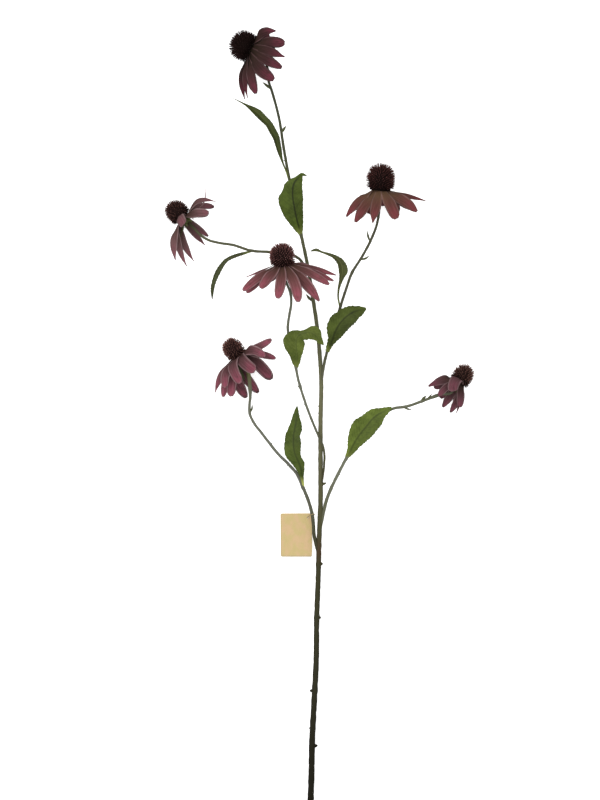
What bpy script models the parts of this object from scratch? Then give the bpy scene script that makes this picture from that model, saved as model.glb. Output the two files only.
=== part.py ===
"""Purple coneflower spray, cut and laid flat: six heads, eight leaves, bracts, stems and a swing tag.

Lengths are in millimetres until they reach a mesh, which is in metres. +Z is up and the surface that the
spray lies on is at zero. +X is to the right and +Y runs from the cut end of the stem to the top flower.
"""

import math
from dataclasses import dataclass

import bmesh
import bpy
import numpy as np
from mathutils import Matrix

METRES = 0.001

# Layout: a spot is (column, row, height), seen from straight above in a picture 600 columns wide
MM_PER_COLUMN = 1.2
VIEW_MIDDLE = (300.0, 400.0)
EYE_HEIGHT = 3000.0
OUTLINE_MIDDLE = (22.56, -26.74)

# Fits and walls
GAP = 0.3
SHEET_THICKNESS = 0.8

# Stems: radii evenly spaced from the lower end to the upper, and the straight lead into a calyx
MAIN_STEM_RADII = (3.4, 2.9, 2.4, 2.2, 1.9, 1.7)
SIDE_STEM_RADII = (1.75, 1.5)
MAIN_STEM_SIDES = 8
SIDE_STEM_SIDES = 6
STEM_POINT_SPACING = 8.0
STEM_LEAD = 6.0

# Calyx: a cup on a stalk that the petal rings are threaded on, its cup as part of the hub's radius
CALYX_SIDES = 10
CALYX_DEPTH = 9.0
CALYX_SHARE = 0.84
CALYX_WAIST_SHARE = 0.6
CALYX_WAIST_DROP = 3.5
CALYX_RIM_DROP = 0.8
CALYX_RIM_SHARE = 0.96
STALK_RADIUS = 2.4

# Cone: its turned profile, as parts of its radius and of its height
CONE_SIDES = 12
CONE_PROFILE = (
    (0.0, 0.0), (0.62, 0.0), (0.86, 0.10), (1.0, 0.32), (0.96, 0.56), (0.76, 0.80), (0.42, 0.95), (0.0, 1.0),
)
SMOOTH_UP_TO = 50.0

# Petals: places along one, as parts of its length, and its width there, as parts of its full width
PETAL_ROWS = ((0.22, 0.66), (0.5, 0.97), (0.78, 0.93), (0.94, 0.58), (1.0, 0.22))
PETAL_ROOT_WIDTH = 3.8
PETAL_ARCH = 18.0
PETAL_HANDLE = 0.38
PETAL_CROWN = 0.08
FLATTEST_PETAL_START = -4.0
CLOSEST_ROOTS = 27.0
SPREADING_PASSES = 60

# Leaves and bracts
LEAF_ROWS = 13
BRACT_ROWS = 4
LEAF_FOLD = 0.14
LEAF_ROOT_WIDTH = 1.2

# Swing tag and its thread
TAG_SIZE = (37.0, 52.0)
TAG_CORNER_RADIUS = 1.5
TAG_CORNER_STEPS = 2
TAG_HOLE_RADIUS = 1.8
TAG_HOLE_INSET = 5.0
TAG_HOLE_STEPS = 12
TAG_MIDDLE = (296.3, 535, 2.9)
TAG_SLOPE = 6.0
TAG_TURN = 1.2
LOOP_RADIUS = 0.5
LOOP_SIDES = 6
LOOP_POINTS = 24
LOOP_SPOTS = (
    (307.8, 517.2, 2.6), (307.9, 517.0, 6.4), (309.6, 515.9, 13), (312.2, 514.6, 18.7), (314.4, 513.8, 18.6),
    (315.6, 513.8, 15.8), (314.6, 514.6, 10.4), (313.2, 516.0, 5), (311, 516.9, 2.6),
)

# Colours, roughness and metallic value of each material
PETAL = ("petal", (0.165, 0.042, 0.058), 0.75, 0.0)
CONE = ("cone", (0.040, 0.012, 0.010), 0.8, 0.0)
LEAF = ("leaf", (0.085, 0.140, 0.030), 0.7, 0.0)
STEM = ("stem", (0.055, 0.062, 0.024), 0.6, 0.0)
CARD = ("card", (0.640, 0.500, 0.290), 0.85, 0.0)
THREAD = ("thread", (0.500, 0.430, 0.320), 0.8, 0.0)


@dataclass(frozen=True)
class Stem:
    """One stem: its spots from the lower end up, its radii evenly spaced between its ends, and its sides."""

    name: str
    route: tuple
    radii: tuple = SIDE_STEM_RADII
    sides: int = SIDE_STEM_SIDES


MAIN_STEM = Stem(
    "main_stem",
    (
        (310.3, 810, 3.4), (311.4, 780, 3.8), (312.2, 740, 5.0), (314.2, 700, 6.4), (316.4, 660, 8.2),
        (317.0, 620, 10.5), (318.8, 575, 13.0), (319.6, 540, 14.5), (320.6, 500, 16.0), (320.5, 460, 17.5),
        (320.9, 420, 19.0), (321.1, 380, 20.5), (319.7, 355, 21.5), (316.6, 323, 22.5), (313.3, 301, 23.0),
        (307.0, 262, 24.5), (301.2, 235, 26.0), (289.4, 179.5, 30.0), (283.6, 147.4, 33.0),
        (279.1, 118.7, 36.0), (272.4, 92.9, 39.0), (268.4, 80, 40.6), (267.3, 68, 41.0),
    ),
    MAIN_STEM_RADII,
    MAIN_STEM_SIDES,
)
LEFT_STEM = Stem(
    "left_stem",
    (
        (306.3, 278, 24.0), (304.9, 269, 24.4), (301.6, 261.4, 25.5), (295, 256, 27.5), (283, 253, 29),
        (270, 252, 30.5), (251, 250.6, 33), (233, 245, 37), (217.6, 242.6, 41), (207.4, 239.6, 43),
        (200.5, 235, 43.8),
    ),
)
RIGHT_STEM = Stem(
    "right_stem",
    (
        (323.4, 388, 24.3), (323.5, 378, 24.6), (324.0, 365, 25.6), (326.2, 355, 27), (332.4, 333, 31.5),
        (339.0, 311, 36), (346.5, 287.8, 39), (351.6, 273.5, 41), (361.8, 257.1, 43), (371, 239.8, 44),
        (377.1, 223.5, 43.6), (379.0, 212, 43),
    ),
)
MIDDLE_STEM = Stem(
    "middle_stem",
    (
        (323.4, 497, 19.7), (323.4, 485, 20.2), (324.3, 468, 21.2), (324.8, 455, 22.9), (322.6, 445, 24.8),
        (319, 437, 26.6), (312.9, 422.8, 30.5), (305.2, 402.2, 37), (298.4, 380, 45), (294.4, 360, 52),
        (289.4, 340, 58), (287.8, 328, 62), (289.2, 316, 65.5), (291.2, 303, 68), (290.4, 293, 69),
        (287.6, 285.5, 69.5),
    ),
)
LOWER_LEFT_STEM = Stem(
    "lower_left_stem",
    (
        (315.2, 562, 13.8), (315.5, 551, 14.2), (315.1, 535, 15), (313.2, 514, 16.5), (308.8, 498.8, 18),
        (303.4, 487, 19.5), (297.1, 474.6, 21), (288.2, 463.9, 23), (277.5, 453.2, 25.5),
        (270.4, 444.3, 27.5), (261.4, 432.7, 30), (253.4, 422, 33), (249.8, 413.9, 35), (249.4, 406.8, 36.5),
        (250.3, 396, 37.6), (249.7, 385, 38), (248.8, 376, 38),
    ),
)
LOWER_RIGHT_STEM = Stem(
    "lower_right_stem",
    (
        (323.6, 534, 15), (323.9, 522, 15.3), (324.2, 510, 15.8), (326.6, 500, 16.8), (330, 491, 17.8),
        (338.2, 473.8, 20), (346.3, 458.6, 22.5), (357, 443, 25), (371, 427.5, 28), (381, 416, 30.5),
        (392, 409, 32.5), (407, 406.3, 34), (423.3, 400.7, 34.6), (434, 397, 34.6), (442, 396.4, 34.2),
    ),
)


@dataclass(frozen=True)
class Head:
    """One flower head on its stem: its seat, the spot that it faces, its sizes and its petals' tips.

    A tip is a spot, followed by the petal's own width where that isn't the head's usual one.
    """

    name: str
    stem: Stem
    base: tuple
    crown: tuple
    cone_radius: float
    cone_height: float
    hub_radius: float
    petal_width: float
    upper_tips: tuple
    lower_tips: tuple


HEADS = (
    Head(
        "top_flower", MAIN_STEM, (254, 51, 42), (243, 45.5, 43), 16.0, 26.0, 9.0, 11.0,
        ((245, 100, 26, 6), (275, 31, 66, 9.5), (274.5, 33, 22, 10), (282, 49, 3),
         (268, 77, 3), (247.5, 98, 46, 6)),
        ((256, 94, 60), (274, 80, 73), (282, 67, 78, 9), (285, 57, 82, 6), (285, 43, 78, 10), (277, 65, 1),
         (253, 91, 12, 9)),
    ),
    Head(
        "left_flower", LEFT_STEM, (183.5, 219, 45), (174.5, 211.3, 46.5), 12.5, 22.0, 8.0, 10.5,
        ((175.5, 260.4, 62), (209, 213, 80), (206, 187.7, 30, 6), (208, 215, 2, 8), (208.4, 236.4, 2, 8.5),
         (187, 266.7, 40, 8.5)),
        ((182.5, 226, 84), (217.6, 202.3, 68, 8), (214.7, 205, 18, 8.5), (205.5, 245.7, 8, 8),
         (194.6, 262.3, 30, 8)),
    ),
    Head(
        "right_flower", RIGHT_STEM, (380, 192, 46), (380.5, 176, 50), 16.0, 33.0, 9.0, 12.0,
        ((346, 217, 58, 10), (372.6, 223, 80), (396.5, 219, 84), (426.6, 201, 56, 9), (413, 209, 28),
         (384, 206, 1)),
        ((355, 222.4, 70), (417.4, 212, 72), (398, 212, 5), (369, 214, 3), (350, 211, 26, 10)),
    ),
    Head(
        "middle_flower", MIDDLE_STEM, (282.5, 267, 78), (280.8, 254, 86), 14.0, 26.0, 9.0, 11.5,
        ((242.6, 290.8, 80, 9), (260.6, 288.5, 110), (277.4, 298.8, 112), (298.1, 302.3, 108),
         (329.5, 284.7, 89, 8), (336.4, 274.7, 66, 8), (305, 275, 32), (246, 277, 46)),
        ((246.4, 293, 66, 9), (319.5, 301.5, 96), (334, 280.5, 76, 7.5), (320, 274, 48, 9), (290, 280, 24),
         (270, 281, 26)),
    ),
    Head(
        "lower_left_flower", LOWER_LEFT_STEM, (239, 357, 45), (233, 349, 49.5), 12.5, 23.0, 8.0, 11.0,
        ((215.2, 393, 38, 8), (225.3, 388, 74, 10), (241.9, 383, 80), (255.7, 371, 78), (265.4, 357, 74, 10),
         (271.8, 339, 50, 9), (258, 364, 1)),
        ((223, 397.3, 50, 9), (230.4, 396.8, 60, 9), (276, 358.6, 34, 9), (271.8, 379.5, 22), (240, 384, 1),
         (259.4, 392.5, 16), (247.6, 398, 24)),
    ),
    Head(
        "lower_right_flower", LOWER_RIGHT_STEM, (456.5, 383.5, 36), (462, 374.5, 38), 12.0, 22.0, 7.5, 9.5,
        ((428, 386.4, 44), (453.9, 391, 64), (461, 405, 58), (455, 404, 1), (440, 398, 2)),
        ((438.5, 396, 56), (456.3, 413.6, 40), (450, 412.7, 30), (442.4, 407.4, 20), (434, 388, 24)),
    ),
)


@dataclass(frozen=True)
class Leaf:
    """One leaf or bract: the stem it grows from, its midrib's spots, its widths and its roll in degrees."""

    name: str
    stem: Stem
    midrib: tuple
    widths: tuple
    roll: float = 0.0


@dataclass(frozen=True)
class Petal:
    """One petal seen along its head's axis: where its root and its tip stand, and its full width."""

    root_angle: float
    tip_angle: float
    tip_radius: float
    tip_height: float
    width: float


LEAVES = (
    Leaf(
        "leaf_1", MAIN_STEM,
        ((289.4, 179.5, 30), (282.8, 166, 34), (279.2, 155, 36), (274.5, 141, 38), (268.5, 127.5, 39),
         (261, 117, 38), (254, 109.5, 36), (246, 104, 33), (233.2, 98.3, 28)),
        (1.2, 2, 4, 10, 12, 12, 9, 4, 1), 25.0,
    ),
    Leaf(
        "leaf_2", MAIN_STEM,
        ((301.2, 235, 26), (297.3, 222, 34), (294.3, 208, 38), (292.3, 195, 40), (293, 185, 42),
         (297, 178, 42), (302, 174.5, 40), (306.8, 175.7, 38)),
        (1.2, 12, 22, 27, 22, 15, 8, 1), -8.0,
    ),
    Leaf(
        "leaf_3", LEFT_STEM,
        ((251.5, 251, 33), (244, 253.8, 31), (236, 256, 29), (227, 260.5, 26), (221, 269, 22),
         (215.8, 279, 17), (213, 288, 12), (212.2, 299.6, 7)),
        (1.2, 4, 7, 7.5, 7.5, 7, 5, 1), 30.0,
    ),
    Leaf(
        "leaf_4", RIGHT_STEM,
        ((340.9, 306, 36.6), (337.9, 298, 38.5), (338.4, 289, 41), (340.8, 279, 43), (342.2, 270, 45),
         (340.5, 262.5, 46), (334.5, 256.4, 46), (327, 253, 44), (321, 251, 42), (316, 250.2, 40),
         (310.5, 251.2, 37)),
        (1.2, 2.2, 2.8, 6, 11, 11, 7, 4, 2.6, 3.6, 1), 20.0,
    ),
    Leaf(
        "leaf_5", MIDDLE_STEM,
        ((296.2, 367, 50), (296.8, 358, 57), (296, 349, 62), (296, 340, 66), (299, 334, 68.5),
         (306, 331.5, 69), (313.5, 333.5, 67), (319.5, 339, 64), (323.5, 345, 61)),
        (1.2, 8, 13, 15.5, 15, 14, 12, 8, 1), 0.0,
    ),
    Leaf(
        "leaf_6", RIGHT_STEM,
        ((327.2, 352, 27.5), (331, 342, 35), (336, 329, 41), (344, 318, 44), (354, 311, 44), (366, 308, 40)),
        (1.2, 11, 23, 22, 13, 1), 0.0,
    ),
    Leaf(
        "leaf_7", LOWER_LEFT_STEM,
        ((303.4, 487, 19.5), (304.2, 478, 25), (300, 466, 29), (294, 452, 31), (293, 436, 31),
         (295.6, 420, 30), (297.1, 406, 28)),
        (1.2, 4, 11, 18, 18.5, 11, 1), 0.0,
    ),
    Leaf(
        "leaf_8", LOWER_RIGHT_STEM,
        ((347, 457.5, 22.8), (352, 446, 30), (358, 436, 34), (366, 426, 37), (374, 416.5, 39),
         (383, 411, 39.5), (391.3, 407, 39)),
        (1.2, 10, 21, 28, 22, 11, 1), 0.0,
    ),
)

BRACTS = (
    Leaf(
        "bract_1", MAIN_STEM,
        ((271, 88.5, 39.5), (266.8, 85.6, 40.5), (262.8, 82.4, 41)), (1.2, 2.4, 0.8),
    ),
    Leaf(
        "bract_2", MAIN_STEM,
        ((281.4, 132.5, 35), (283.8, 129.2, 36.5), (286.4, 125.7, 37)), (1.2, 2.4, 0.8),
    ),
    Leaf(
        "bract_3", MAIN_STEM,
        ((312, 301.4, 23), (309, 298, 24), (306.1, 294.2, 24.5)), (1.2, 2.4, 0.8),
    ),
    Leaf(
        "bract_4", RIGHT_STEM,
        ((370.4, 241.6, 44), (368, 236, 46), (367.4, 231, 47)), (1.2, 2.6, 0.8),
    ),
    Leaf(
        "bract_5", RIGHT_STEM,
        ((361, 259, 43), (365.6, 258.4, 44.5), (369.5, 255.6, 45)), (1.2, 2.6, 0.8),
    ),
    Leaf(
        "bract_6", LOWER_LEFT_STEM,
        ((249.6, 412, 35.5), (252, 408.4, 37.5), (252.2, 404.5, 38.5)), (1.2, 2.2, 0.8),
    ),
    Leaf(
        "bract_7", LOWER_RIGHT_STEM,
        ((421.4, 401.6, 34.5), (423.6, 398.2, 36.5), (426.6, 395.4, 37)), (1.2, 2.4, 0.8),
    ),
    Leaf(
        "bract_8", LOWER_RIGHT_STEM,
        ((404, 407, 33.8), (407.8, 409, 35), (411.8, 409.6, 35)), (1.2, 2.2, 0.8),
    ),
    Leaf(
        "bract_9", LOWER_RIGHT_STEM,
        ((428, 399, 34.6), (429.8, 396.4, 37), (432, 393.6, 37.6)), (1.2, 2.0, 0.8),
    ),
)


def to_mm(spot):
    """Place a spot of the layout: what is nearer the eye looks larger, so it lies closer to the middle."""
    column, row, height = spot[:3]
    scale = MM_PER_COLUMN * (1.0 - height / EYE_HEIGHT)
    return np.array([(column - VIEW_MIDDLE[0]) * scale, (VIEW_MIDDLE[1] - row) * scale, height])


def unit(vector):
    """Return the vector at length one."""
    return vector / np.linalg.norm(vector)


def smooth(points, count):
    """Read count places off one smooth curve that runs through the points, evenly along its length."""
    points = np.asarray(points, float)
    knots = np.concatenate([[0.0], np.cumsum(np.linalg.norm(np.diff(points[:, :3], axis=0), axis=1))])
    slopes = np.gradient(points, knots, axis=0)
    wanted = np.linspace(0.0, knots[-1], count)
    before = np.clip(np.searchsorted(knots, wanted, side="right") - 1, 0, len(knots) - 2)
    span = (knots[before + 1] - knots[before])[:, None]
    s = (wanted - knots[before])[:, None] / span
    return (
        (2 * s**3 - 3 * s**2 + 1) * points[before]
        + (s**3 - 2 * s**2 + s) * span * slopes[before]
        + (3 * s**2 - 2 * s**3) * points[before + 1]
        + (s**3 - s**2) * span * slopes[before + 1]
    )


def tangents(line):
    """Return the direction of a line of points at each of them."""
    steps = np.gradient(line[:, :3], axis=0)
    return steps / np.linalg.norm(steps, axis=1)[:, None]


def clear_scene():
    """Remove every object that is in the scene at the start."""
    for existing in list(bpy.data.objects):
        bpy.data.objects.remove(existing, do_unlink=True)


def make_material(name, look):
    """Make one Principled material with the look's colour, roughness and metallic value."""
    _, colour, roughness, metallic = look
    material = bpy.data.materials.new(name)
    material.use_nodes = True
    shader = material.node_tree.nodes["Principled BSDF"]
    shader.inputs["Base Color"].default_value = (*colour, 1.0)
    shader.inputs["Roughness"].default_value = roughness
    shader.inputs["Metallic"].default_value = metallic
    material.diffuse_color = (*colour, 1.0)
    return material


def add_object(name, data, look, parent):
    """Put a mesh or curve in the scene under its parent, with a material of its own."""
    piece = bpy.data.objects.new(name, data)
    data.materials.append(make_material(name, look))
    bpy.context.scene.collection.objects.link(piece)
    piece.parent = parent
    return piece


def add_empty(name, parent, matrix):
    """Add an empty that places the pieces under it."""
    empty = bpy.data.objects.new(name, None)
    bpy.context.scene.collection.objects.link(empty)
    empty.parent = parent
    empty.matrix_local = matrix
    return empty


def add_tube(name, line, radii, sides, look, parent, closed=False):
    """Add a round stem or thread along a line of points in millimetres."""
    curve = bpy.data.curves.new(name, "CURVE")
    curve.dimensions = "3D"
    curve.bevel_depth = METRES
    curve.bevel_resolution = (sides - 4) // 2
    curve.use_fill_caps = not closed
    spline = curve.splines.new("POLY")
    spline.points.add(len(line) - 1)
    spline.use_cyclic_u = closed
    spline.use_smooth = True
    for point, place, radius in zip(spline.points, line, radii):
        point.co = (*(place * METRES), 1.0)
        point.radius = radius
    add_object(name, curve, look, parent)


def add_sheet(name, rows, look, parent):
    """Add a thin sheet from rows of points in millimetres, with its thickness given by Solidify."""
    count, across = rows.shape[:2]
    faces = [
        (r * across + c, r * across + c + 1, (r + 1) * across + c + 1, (r + 1) * across + c)
        for r in range(count - 1)
        for c in range(across - 1)
    ]
    mesh = bpy.data.meshes.new(name)
    mesh.from_pydata((rows.reshape(-1, 3) * METRES).tolist(), [], faces)
    mesh.shade_smooth()
    thicken(add_object(name, mesh, look, parent))


def thicken(piece):
    """Give a sheet its thickness, half on each side."""
    wall = piece.modifiers.new("Thickness", "SOLIDIFY")
    wall.thickness = SHEET_THICKNESS * METRES
    wall.offset = 0.0


def add_turned(name, profile, sides, look, parent):
    """Add a turned solid from a profile of (radius, height) that starts and ends on the axis."""
    shape = bmesh.new()
    corners = [shape.verts.new((radius * METRES, 0.0, height * METRES)) for radius, height in profile]
    edges = [shape.edges.new(pair) for pair in zip(corners, corners[1:])]
    bmesh.ops.spin(
        shape, geom=corners + edges, axis=(0, 0, 1), cent=(0, 0, 0), angle=math.tau, steps=sides,
        use_merge=True,
    )
    bmesh.ops.remove_doubles(shape, verts=shape.verts, dist=0.01 * METRES)
    bmesh.ops.recalc_face_normals(shape, faces=shape.faces)
    mesh = bpy.data.meshes.new(name)
    shape.to_mesh(mesh)
    shape.free()
    mesh.shade_smooth()
    mesh.set_sharp_from_angle(angle=math.radians(SMOOTH_UP_TO))
    add_object(name, mesh, look, parent)


def head_frame(head):
    """Return a head's place and its side, front and axis directions, the front leaning to the sky."""
    base = to_mm(head.base)
    axis = unit(to_mm(head.crown) - base)
    front = unit(np.array([0.0, 0.0, 1.0]) - axis * axis[2])
    return base, np.cross(front, axis), front, axis


def spread_roots(angles):
    """Move petal roots apart round the hub until none are closer than two roots can stand."""
    angles = np.array(angles, float)
    for _ in range(SPREADING_PASSES):
        ahead = (np.roll(angles, -1) - angles) % 360.0
        push = np.maximum(CLOSEST_ROOTS - ahead, 0.0) / 2.0
        angles = angles - push + np.roll(push, 1)
    return angles


def find_petals(head, tips):
    """Return a ring's petals in order round the head's axis, each from its root to the spot of its tip."""
    base, side, front, axis = head_frame(head)
    found = []
    for tip in tips:
        offset = to_mm(tip) - base
        right, ahead = offset @ side, offset @ front
        width = tip[3] if len(tip) > 3 else head.petal_width
        turn = math.degrees(math.atan2(ahead, right)) % 360.0
        found.append((turn, math.hypot(right, ahead), offset @ axis, width))
    found.sort()
    roots = spread_roots([turn for turn, *_ in found])
    return [
        Petal(root, root + (turn - root + 180.0) % 360.0 - 180.0, radius, height, width)
        for root, (turn, radius, height, width) in zip(roots, found)
    ]


def petal_line(petal, hub_radius, ring_height):
    """Return a petal's midline as (angle, radius, height) rows: an arch from the hub out to the tip."""
    root = np.array([hub_radius, ring_height])
    end = np.array([petal.tip_radius, petal.tip_height])
    handle = PETAL_HANDLE * np.linalg.norm(end - root)
    droop = math.degrees(math.atan2(root[1] - end[1], end[0] - root[0]))
    leave = math.radians(max(droop - PETAL_ARCH, FLATTEST_PETAL_START))
    arrive = math.radians(droop + PETAL_ARCH)
    first = root + handle * np.array([math.cos(leave), -math.sin(leave)])
    second = end - handle * np.array([math.cos(arrive), -math.sin(arrive)])
    rows = []
    for t, _ in PETAL_ROWS:
        near_root = (1 - t) ** 3 * root + 3 * (1 - t) ** 2 * t * first
        near_tip = 3 * (1 - t) * t**2 * second + t**3 * end
        turn = petal.root_angle + (petal.tip_angle - petal.root_angle) * t * t * (3 - 2 * t)
        rows.append((turn, *(near_root + near_tip)))
    return rows


def polar(turn, radius, height):
    """Return a place round a head's axis in metres, from an angle in degrees and millimetres."""
    ray = math.radians(turn)
    return np.array([radius * math.cos(ray), radius * math.sin(ray), height]) * METRES


def add_hub(shape, petals, hub_radius, ring_height):
    """Add a ring's flat hub with its hole, and return the three corners that each petal grows from."""
    half_root = math.degrees(0.5 * PETAL_ROOT_WIDTH / hub_radius)
    turns = []
    for petal, following in zip(petals, petals[1:] + petals[:1]):
        root = petal.root_angle
        turns += [root - half_root, root, root + half_root]
        space = (following.root_angle - root) % 360.0
        if space > 4 * half_root:
            turns.append(root + space / 2)
    inner, outer = (
        [shape.verts.new(polar(turn, radius, ring_height)) for turn in turns]
        for radius in (STALK_RADIUS + GAP, hub_radius)
    )
    for here in range(len(turns)):
        after = (here + 1) % len(turns)
        shape.faces.new((inner[here], outer[here], outer[after], inner[after]))
    middles = [turns.index(petal.root_angle) for petal in petals]
    return [outer[middle - 1 : middle + 2] for middle in middles]


def add_petal(shape, petal, root, hub_radius, ring_height):
    """Add one petal to a ring: rows of three corners along its midline, a little higher in the middle."""
    previous = root
    line = petal_line(petal, hub_radius, ring_height)
    for (turn, radius, height), (_, share) in zip(line, PETAL_ROWS):
        half_width = 0.5 * petal.width * share
        middle = polar(turn, radius, height)
        across = polar(turn + 90.0, half_width, 0.0)
        crown = polar(turn, 0.0, 2 * PETAL_CROWN * half_width)
        row = [shape.verts.new(place) for place in (middle - across, middle + crown, middle + across)]
        for c in range(2):
            shape.faces.new((previous[c], row[c], row[c + 1], previous[c + 1]))
        previous = row


def add_petal_ring(name, head, tips, ring_height, parent):
    """Add one ring of petals: a flat hub with a hole, and a petal that grows from it towards each tip."""
    petals = find_petals(head, tips)
    shape = bmesh.new()
    roots = add_hub(shape, petals, head.hub_radius, ring_height)
    for petal, root in zip(petals, roots):
        add_petal(shape, petal, root, head.hub_radius, ring_height)
    mesh = bpy.data.meshes.new(name)
    shape.to_mesh(mesh)
    shape.free()
    mesh.shade_smooth()
    thicken(add_object(name, mesh, PETAL, parent))


def add_head(head, spray):
    """Add a flower head: cone, two rings of petals and the calyx whose stalk they are threaded on."""
    base, side, front, axis = head_frame(head)
    turned = np.eye(4)
    turned[:3] = np.column_stack([side, front, axis, base * METRES])
    seat = add_empty(f"{head.name}_seat", spray, Matrix(turned.tolist()))
    upper_height = -GAP - SHEET_THICKNESS / 2
    lower_height = upper_height - SHEET_THICKNESS - GAP
    calyx_top = lower_height - SHEET_THICKNESS / 2 - GAP

    cone_profile = [(head.cone_radius * out, head.cone_height * up) for out, up in CONE_PROFILE]
    add_turned(f"{head.name}_cone", cone_profile, CONE_SIDES, CONE, seat)
    add_petal_ring(f"{head.name}_upper_petals", head, head.upper_tips, upper_height, seat)
    add_petal_ring(f"{head.name}_lower_petals", head, head.lower_tips, lower_height, seat)
    cup_radius = CALYX_SHARE * head.hub_radius
    calyx_profile = (
        (0.0, -CALYX_DEPTH),
        (STALK_RADIUS, -CALYX_DEPTH),
        (CALYX_WAIST_SHARE * cup_radius, calyx_top - CALYX_WAIST_DROP),
        (cup_radius, calyx_top - CALYX_RIM_DROP),
        (CALYX_RIM_SHARE * cup_radius, calyx_top),
        (STALK_RADIUS, calyx_top),
        (STALK_RADIUS, -GAP),
        (0.0, -GAP),
    )
    add_turned(f"{head.name}_calyx", calyx_profile, CALYX_SIDES, LEAF, seat)


def stem_line(head):
    """Return a head's stem as rows of place and radius, led straight into the end of its calyx."""
    base, _, _, axis = head_frame(head)
    route = [to_mm(spot) for spot in head.stem.route]
    route += [base - axis * (CALYX_DEPTH + GAP + STEM_LEAD), base - axis * (CALYX_DEPTH + GAP)]
    length = sum(np.linalg.norm(b - a) for a, b in zip(route, route[1:]))
    places = smooth(route, int(length / STEM_POINT_SPACING))
    along = np.linspace(0.0, 1.0, len(places))
    radii = np.interp(along, np.linspace(0.0, 1.0, len(head.stem.radii)), head.stem.radii)
    return np.column_stack([places, radii])


def seat_on_stem(leaf, line):
    """Return a leaf's midrib in millimetres with its root moved out to the skin of its stem."""
    midrib = np.array([to_mm(spot) for spot in leaf.midrib])
    nearest = int(np.argmin(np.linalg.norm(line[:, :2] - midrib[0, :2], axis=1)))
    place, radius = line[nearest, :3], line[nearest, 3]
    run = tangents(line)[nearest]
    away = midrib[1] - place
    away = unit(away - run * (away @ run))
    midrib[0] = place + away * (radius + GAP + LEAF_ROOT_WIDTH / 2)
    return midrib


def add_leaf(leaf, stem, row_count, spray):
    """Add a leaf or bract: a sheet along its midrib, folded a little along the middle."""
    line = smooth(np.column_stack([seat_on_stem(leaf, stem), leaf.widths]), row_count)
    run = tangents(line)
    level = np.cross(run, (0.0, 0.0, 1.0))
    level = level / np.linalg.norm(level, axis=1)[:, None]
    roll = math.radians(leaf.roll)
    across = level * math.cos(roll) + np.cross(level, run) * math.sin(roll)
    facing = np.cross(across, run)
    middle = line[:, :3]
    half = 0.5 * line[:, 3:4]
    fold = facing * 2 * LEAF_FOLD * half
    rows = np.stack([middle - across * half, middle - fold, middle + across * half], axis=1)
    add_sheet(leaf.name, rows, LEAF, spray)


def arc(middle, radius, start, sweep, steps):
    """Return places evenly along an arc, with its angles in degrees."""
    turns = [math.radians(start + sweep * step / steps) for step in range(steps + 1)]
    return [(middle[0] + radius * math.cos(turn), middle[1] + radius * math.sin(turn)) for turn in turns]


def add_tag(spray):
    """Add the swing tag: a card with round corners and one punched hole, lying on its left edge."""
    width, height = (size / 2 for size in TAG_SIZE)
    inset = TAG_CORNER_RADIUS
    outline = []
    for quarter, (right, up) in enumerate(((1, 1), (-1, 1), (-1, -1), (1, -1))):
        middle = (right * (width - inset), up * (height - inset))
        outline += arc(middle, inset, 90.0 * quarter, 90.0, TAG_CORNER_STEPS)
    hole_middle = (width - TAG_HOLE_INSET, height - TAG_HOLE_INSET)
    hole = arc(hole_middle, TAG_HOLE_RADIUS, 0.0, 360.0, TAG_HOLE_STEPS)[:-1]
    card = bpy.data.curves.new("swing_tag", "CURVE")
    card.dimensions = "2D"
    card.fill_mode = "BOTH"
    card.extrude = SHEET_THICKNESS / 2 * METRES
    for path in (outline, hole):
        spline = card.splines.new("POLY")
        spline.points.add(len(path) - 1)
        spline.use_cyclic_u = True
        for point, (x, y) in zip(spline.points, path):
            point.co = (x * METRES, y * METRES, 0.0, 1.0)
    tag = add_object("swing_tag", card, CARD, spray)
    tag.location = to_mm(TAG_MIDDLE) * METRES
    tag.rotation_euler = (0.0, math.radians(-TAG_SLOPE), math.radians(TAG_TURN))


def add_loop(spray):
    """Add the thread that ties the tag to the lower left stem, one closed loop."""
    spots = [to_mm(spot) for spot in LOOP_SPOTS]
    line = smooth(spots + spots[:1], LOOP_POINTS + 1)[:-1]
    add_tube("tag_loop", line, [LOOP_RADIUS] * LOOP_POINTS, LOOP_SIDES, THREAD, spray, closed=True)


def main():
    """Build the whole spray."""
    clear_scene()
    outline_middle = Matrix.Translation((-OUTLINE_MIDDLE[0] * METRES, -OUTLINE_MIDDLE[1] * METRES, 0.0))
    spray = add_empty("spray", None, outline_middle)
    lines = {}
    for head in HEADS:
        stem = head.stem
        line = lines[stem.name] = stem_line(head)
        add_tube(stem.name, line[:, :3], line[:, 3], stem.sides, STEM, spray)
        add_head(head, spray)
    for leaf in LEAVES:
        add_leaf(leaf, lines[leaf.stem.name], LEAF_ROWS, spray)
    for bract in BRACTS:
        add_leaf(bract, lines[bract.stem.name], BRACT_ROWS, spray)
    add_tag(spray)
    add_loop(spray)


main()
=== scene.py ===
"""Looks of the coneflower spray: bark, petals, spiked cones, leaves, tag, and the floor, light and camera.

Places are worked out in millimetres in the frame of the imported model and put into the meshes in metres. A
spot of the layout is (column, row, height): a place in the photograph's frame of 600 by 800, which is seen
from straight above, and a height over the floor in millimetres.
"""

from __future__ import annotations

import logging
import math
from dataclasses import dataclass
from enum import Enum

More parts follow.
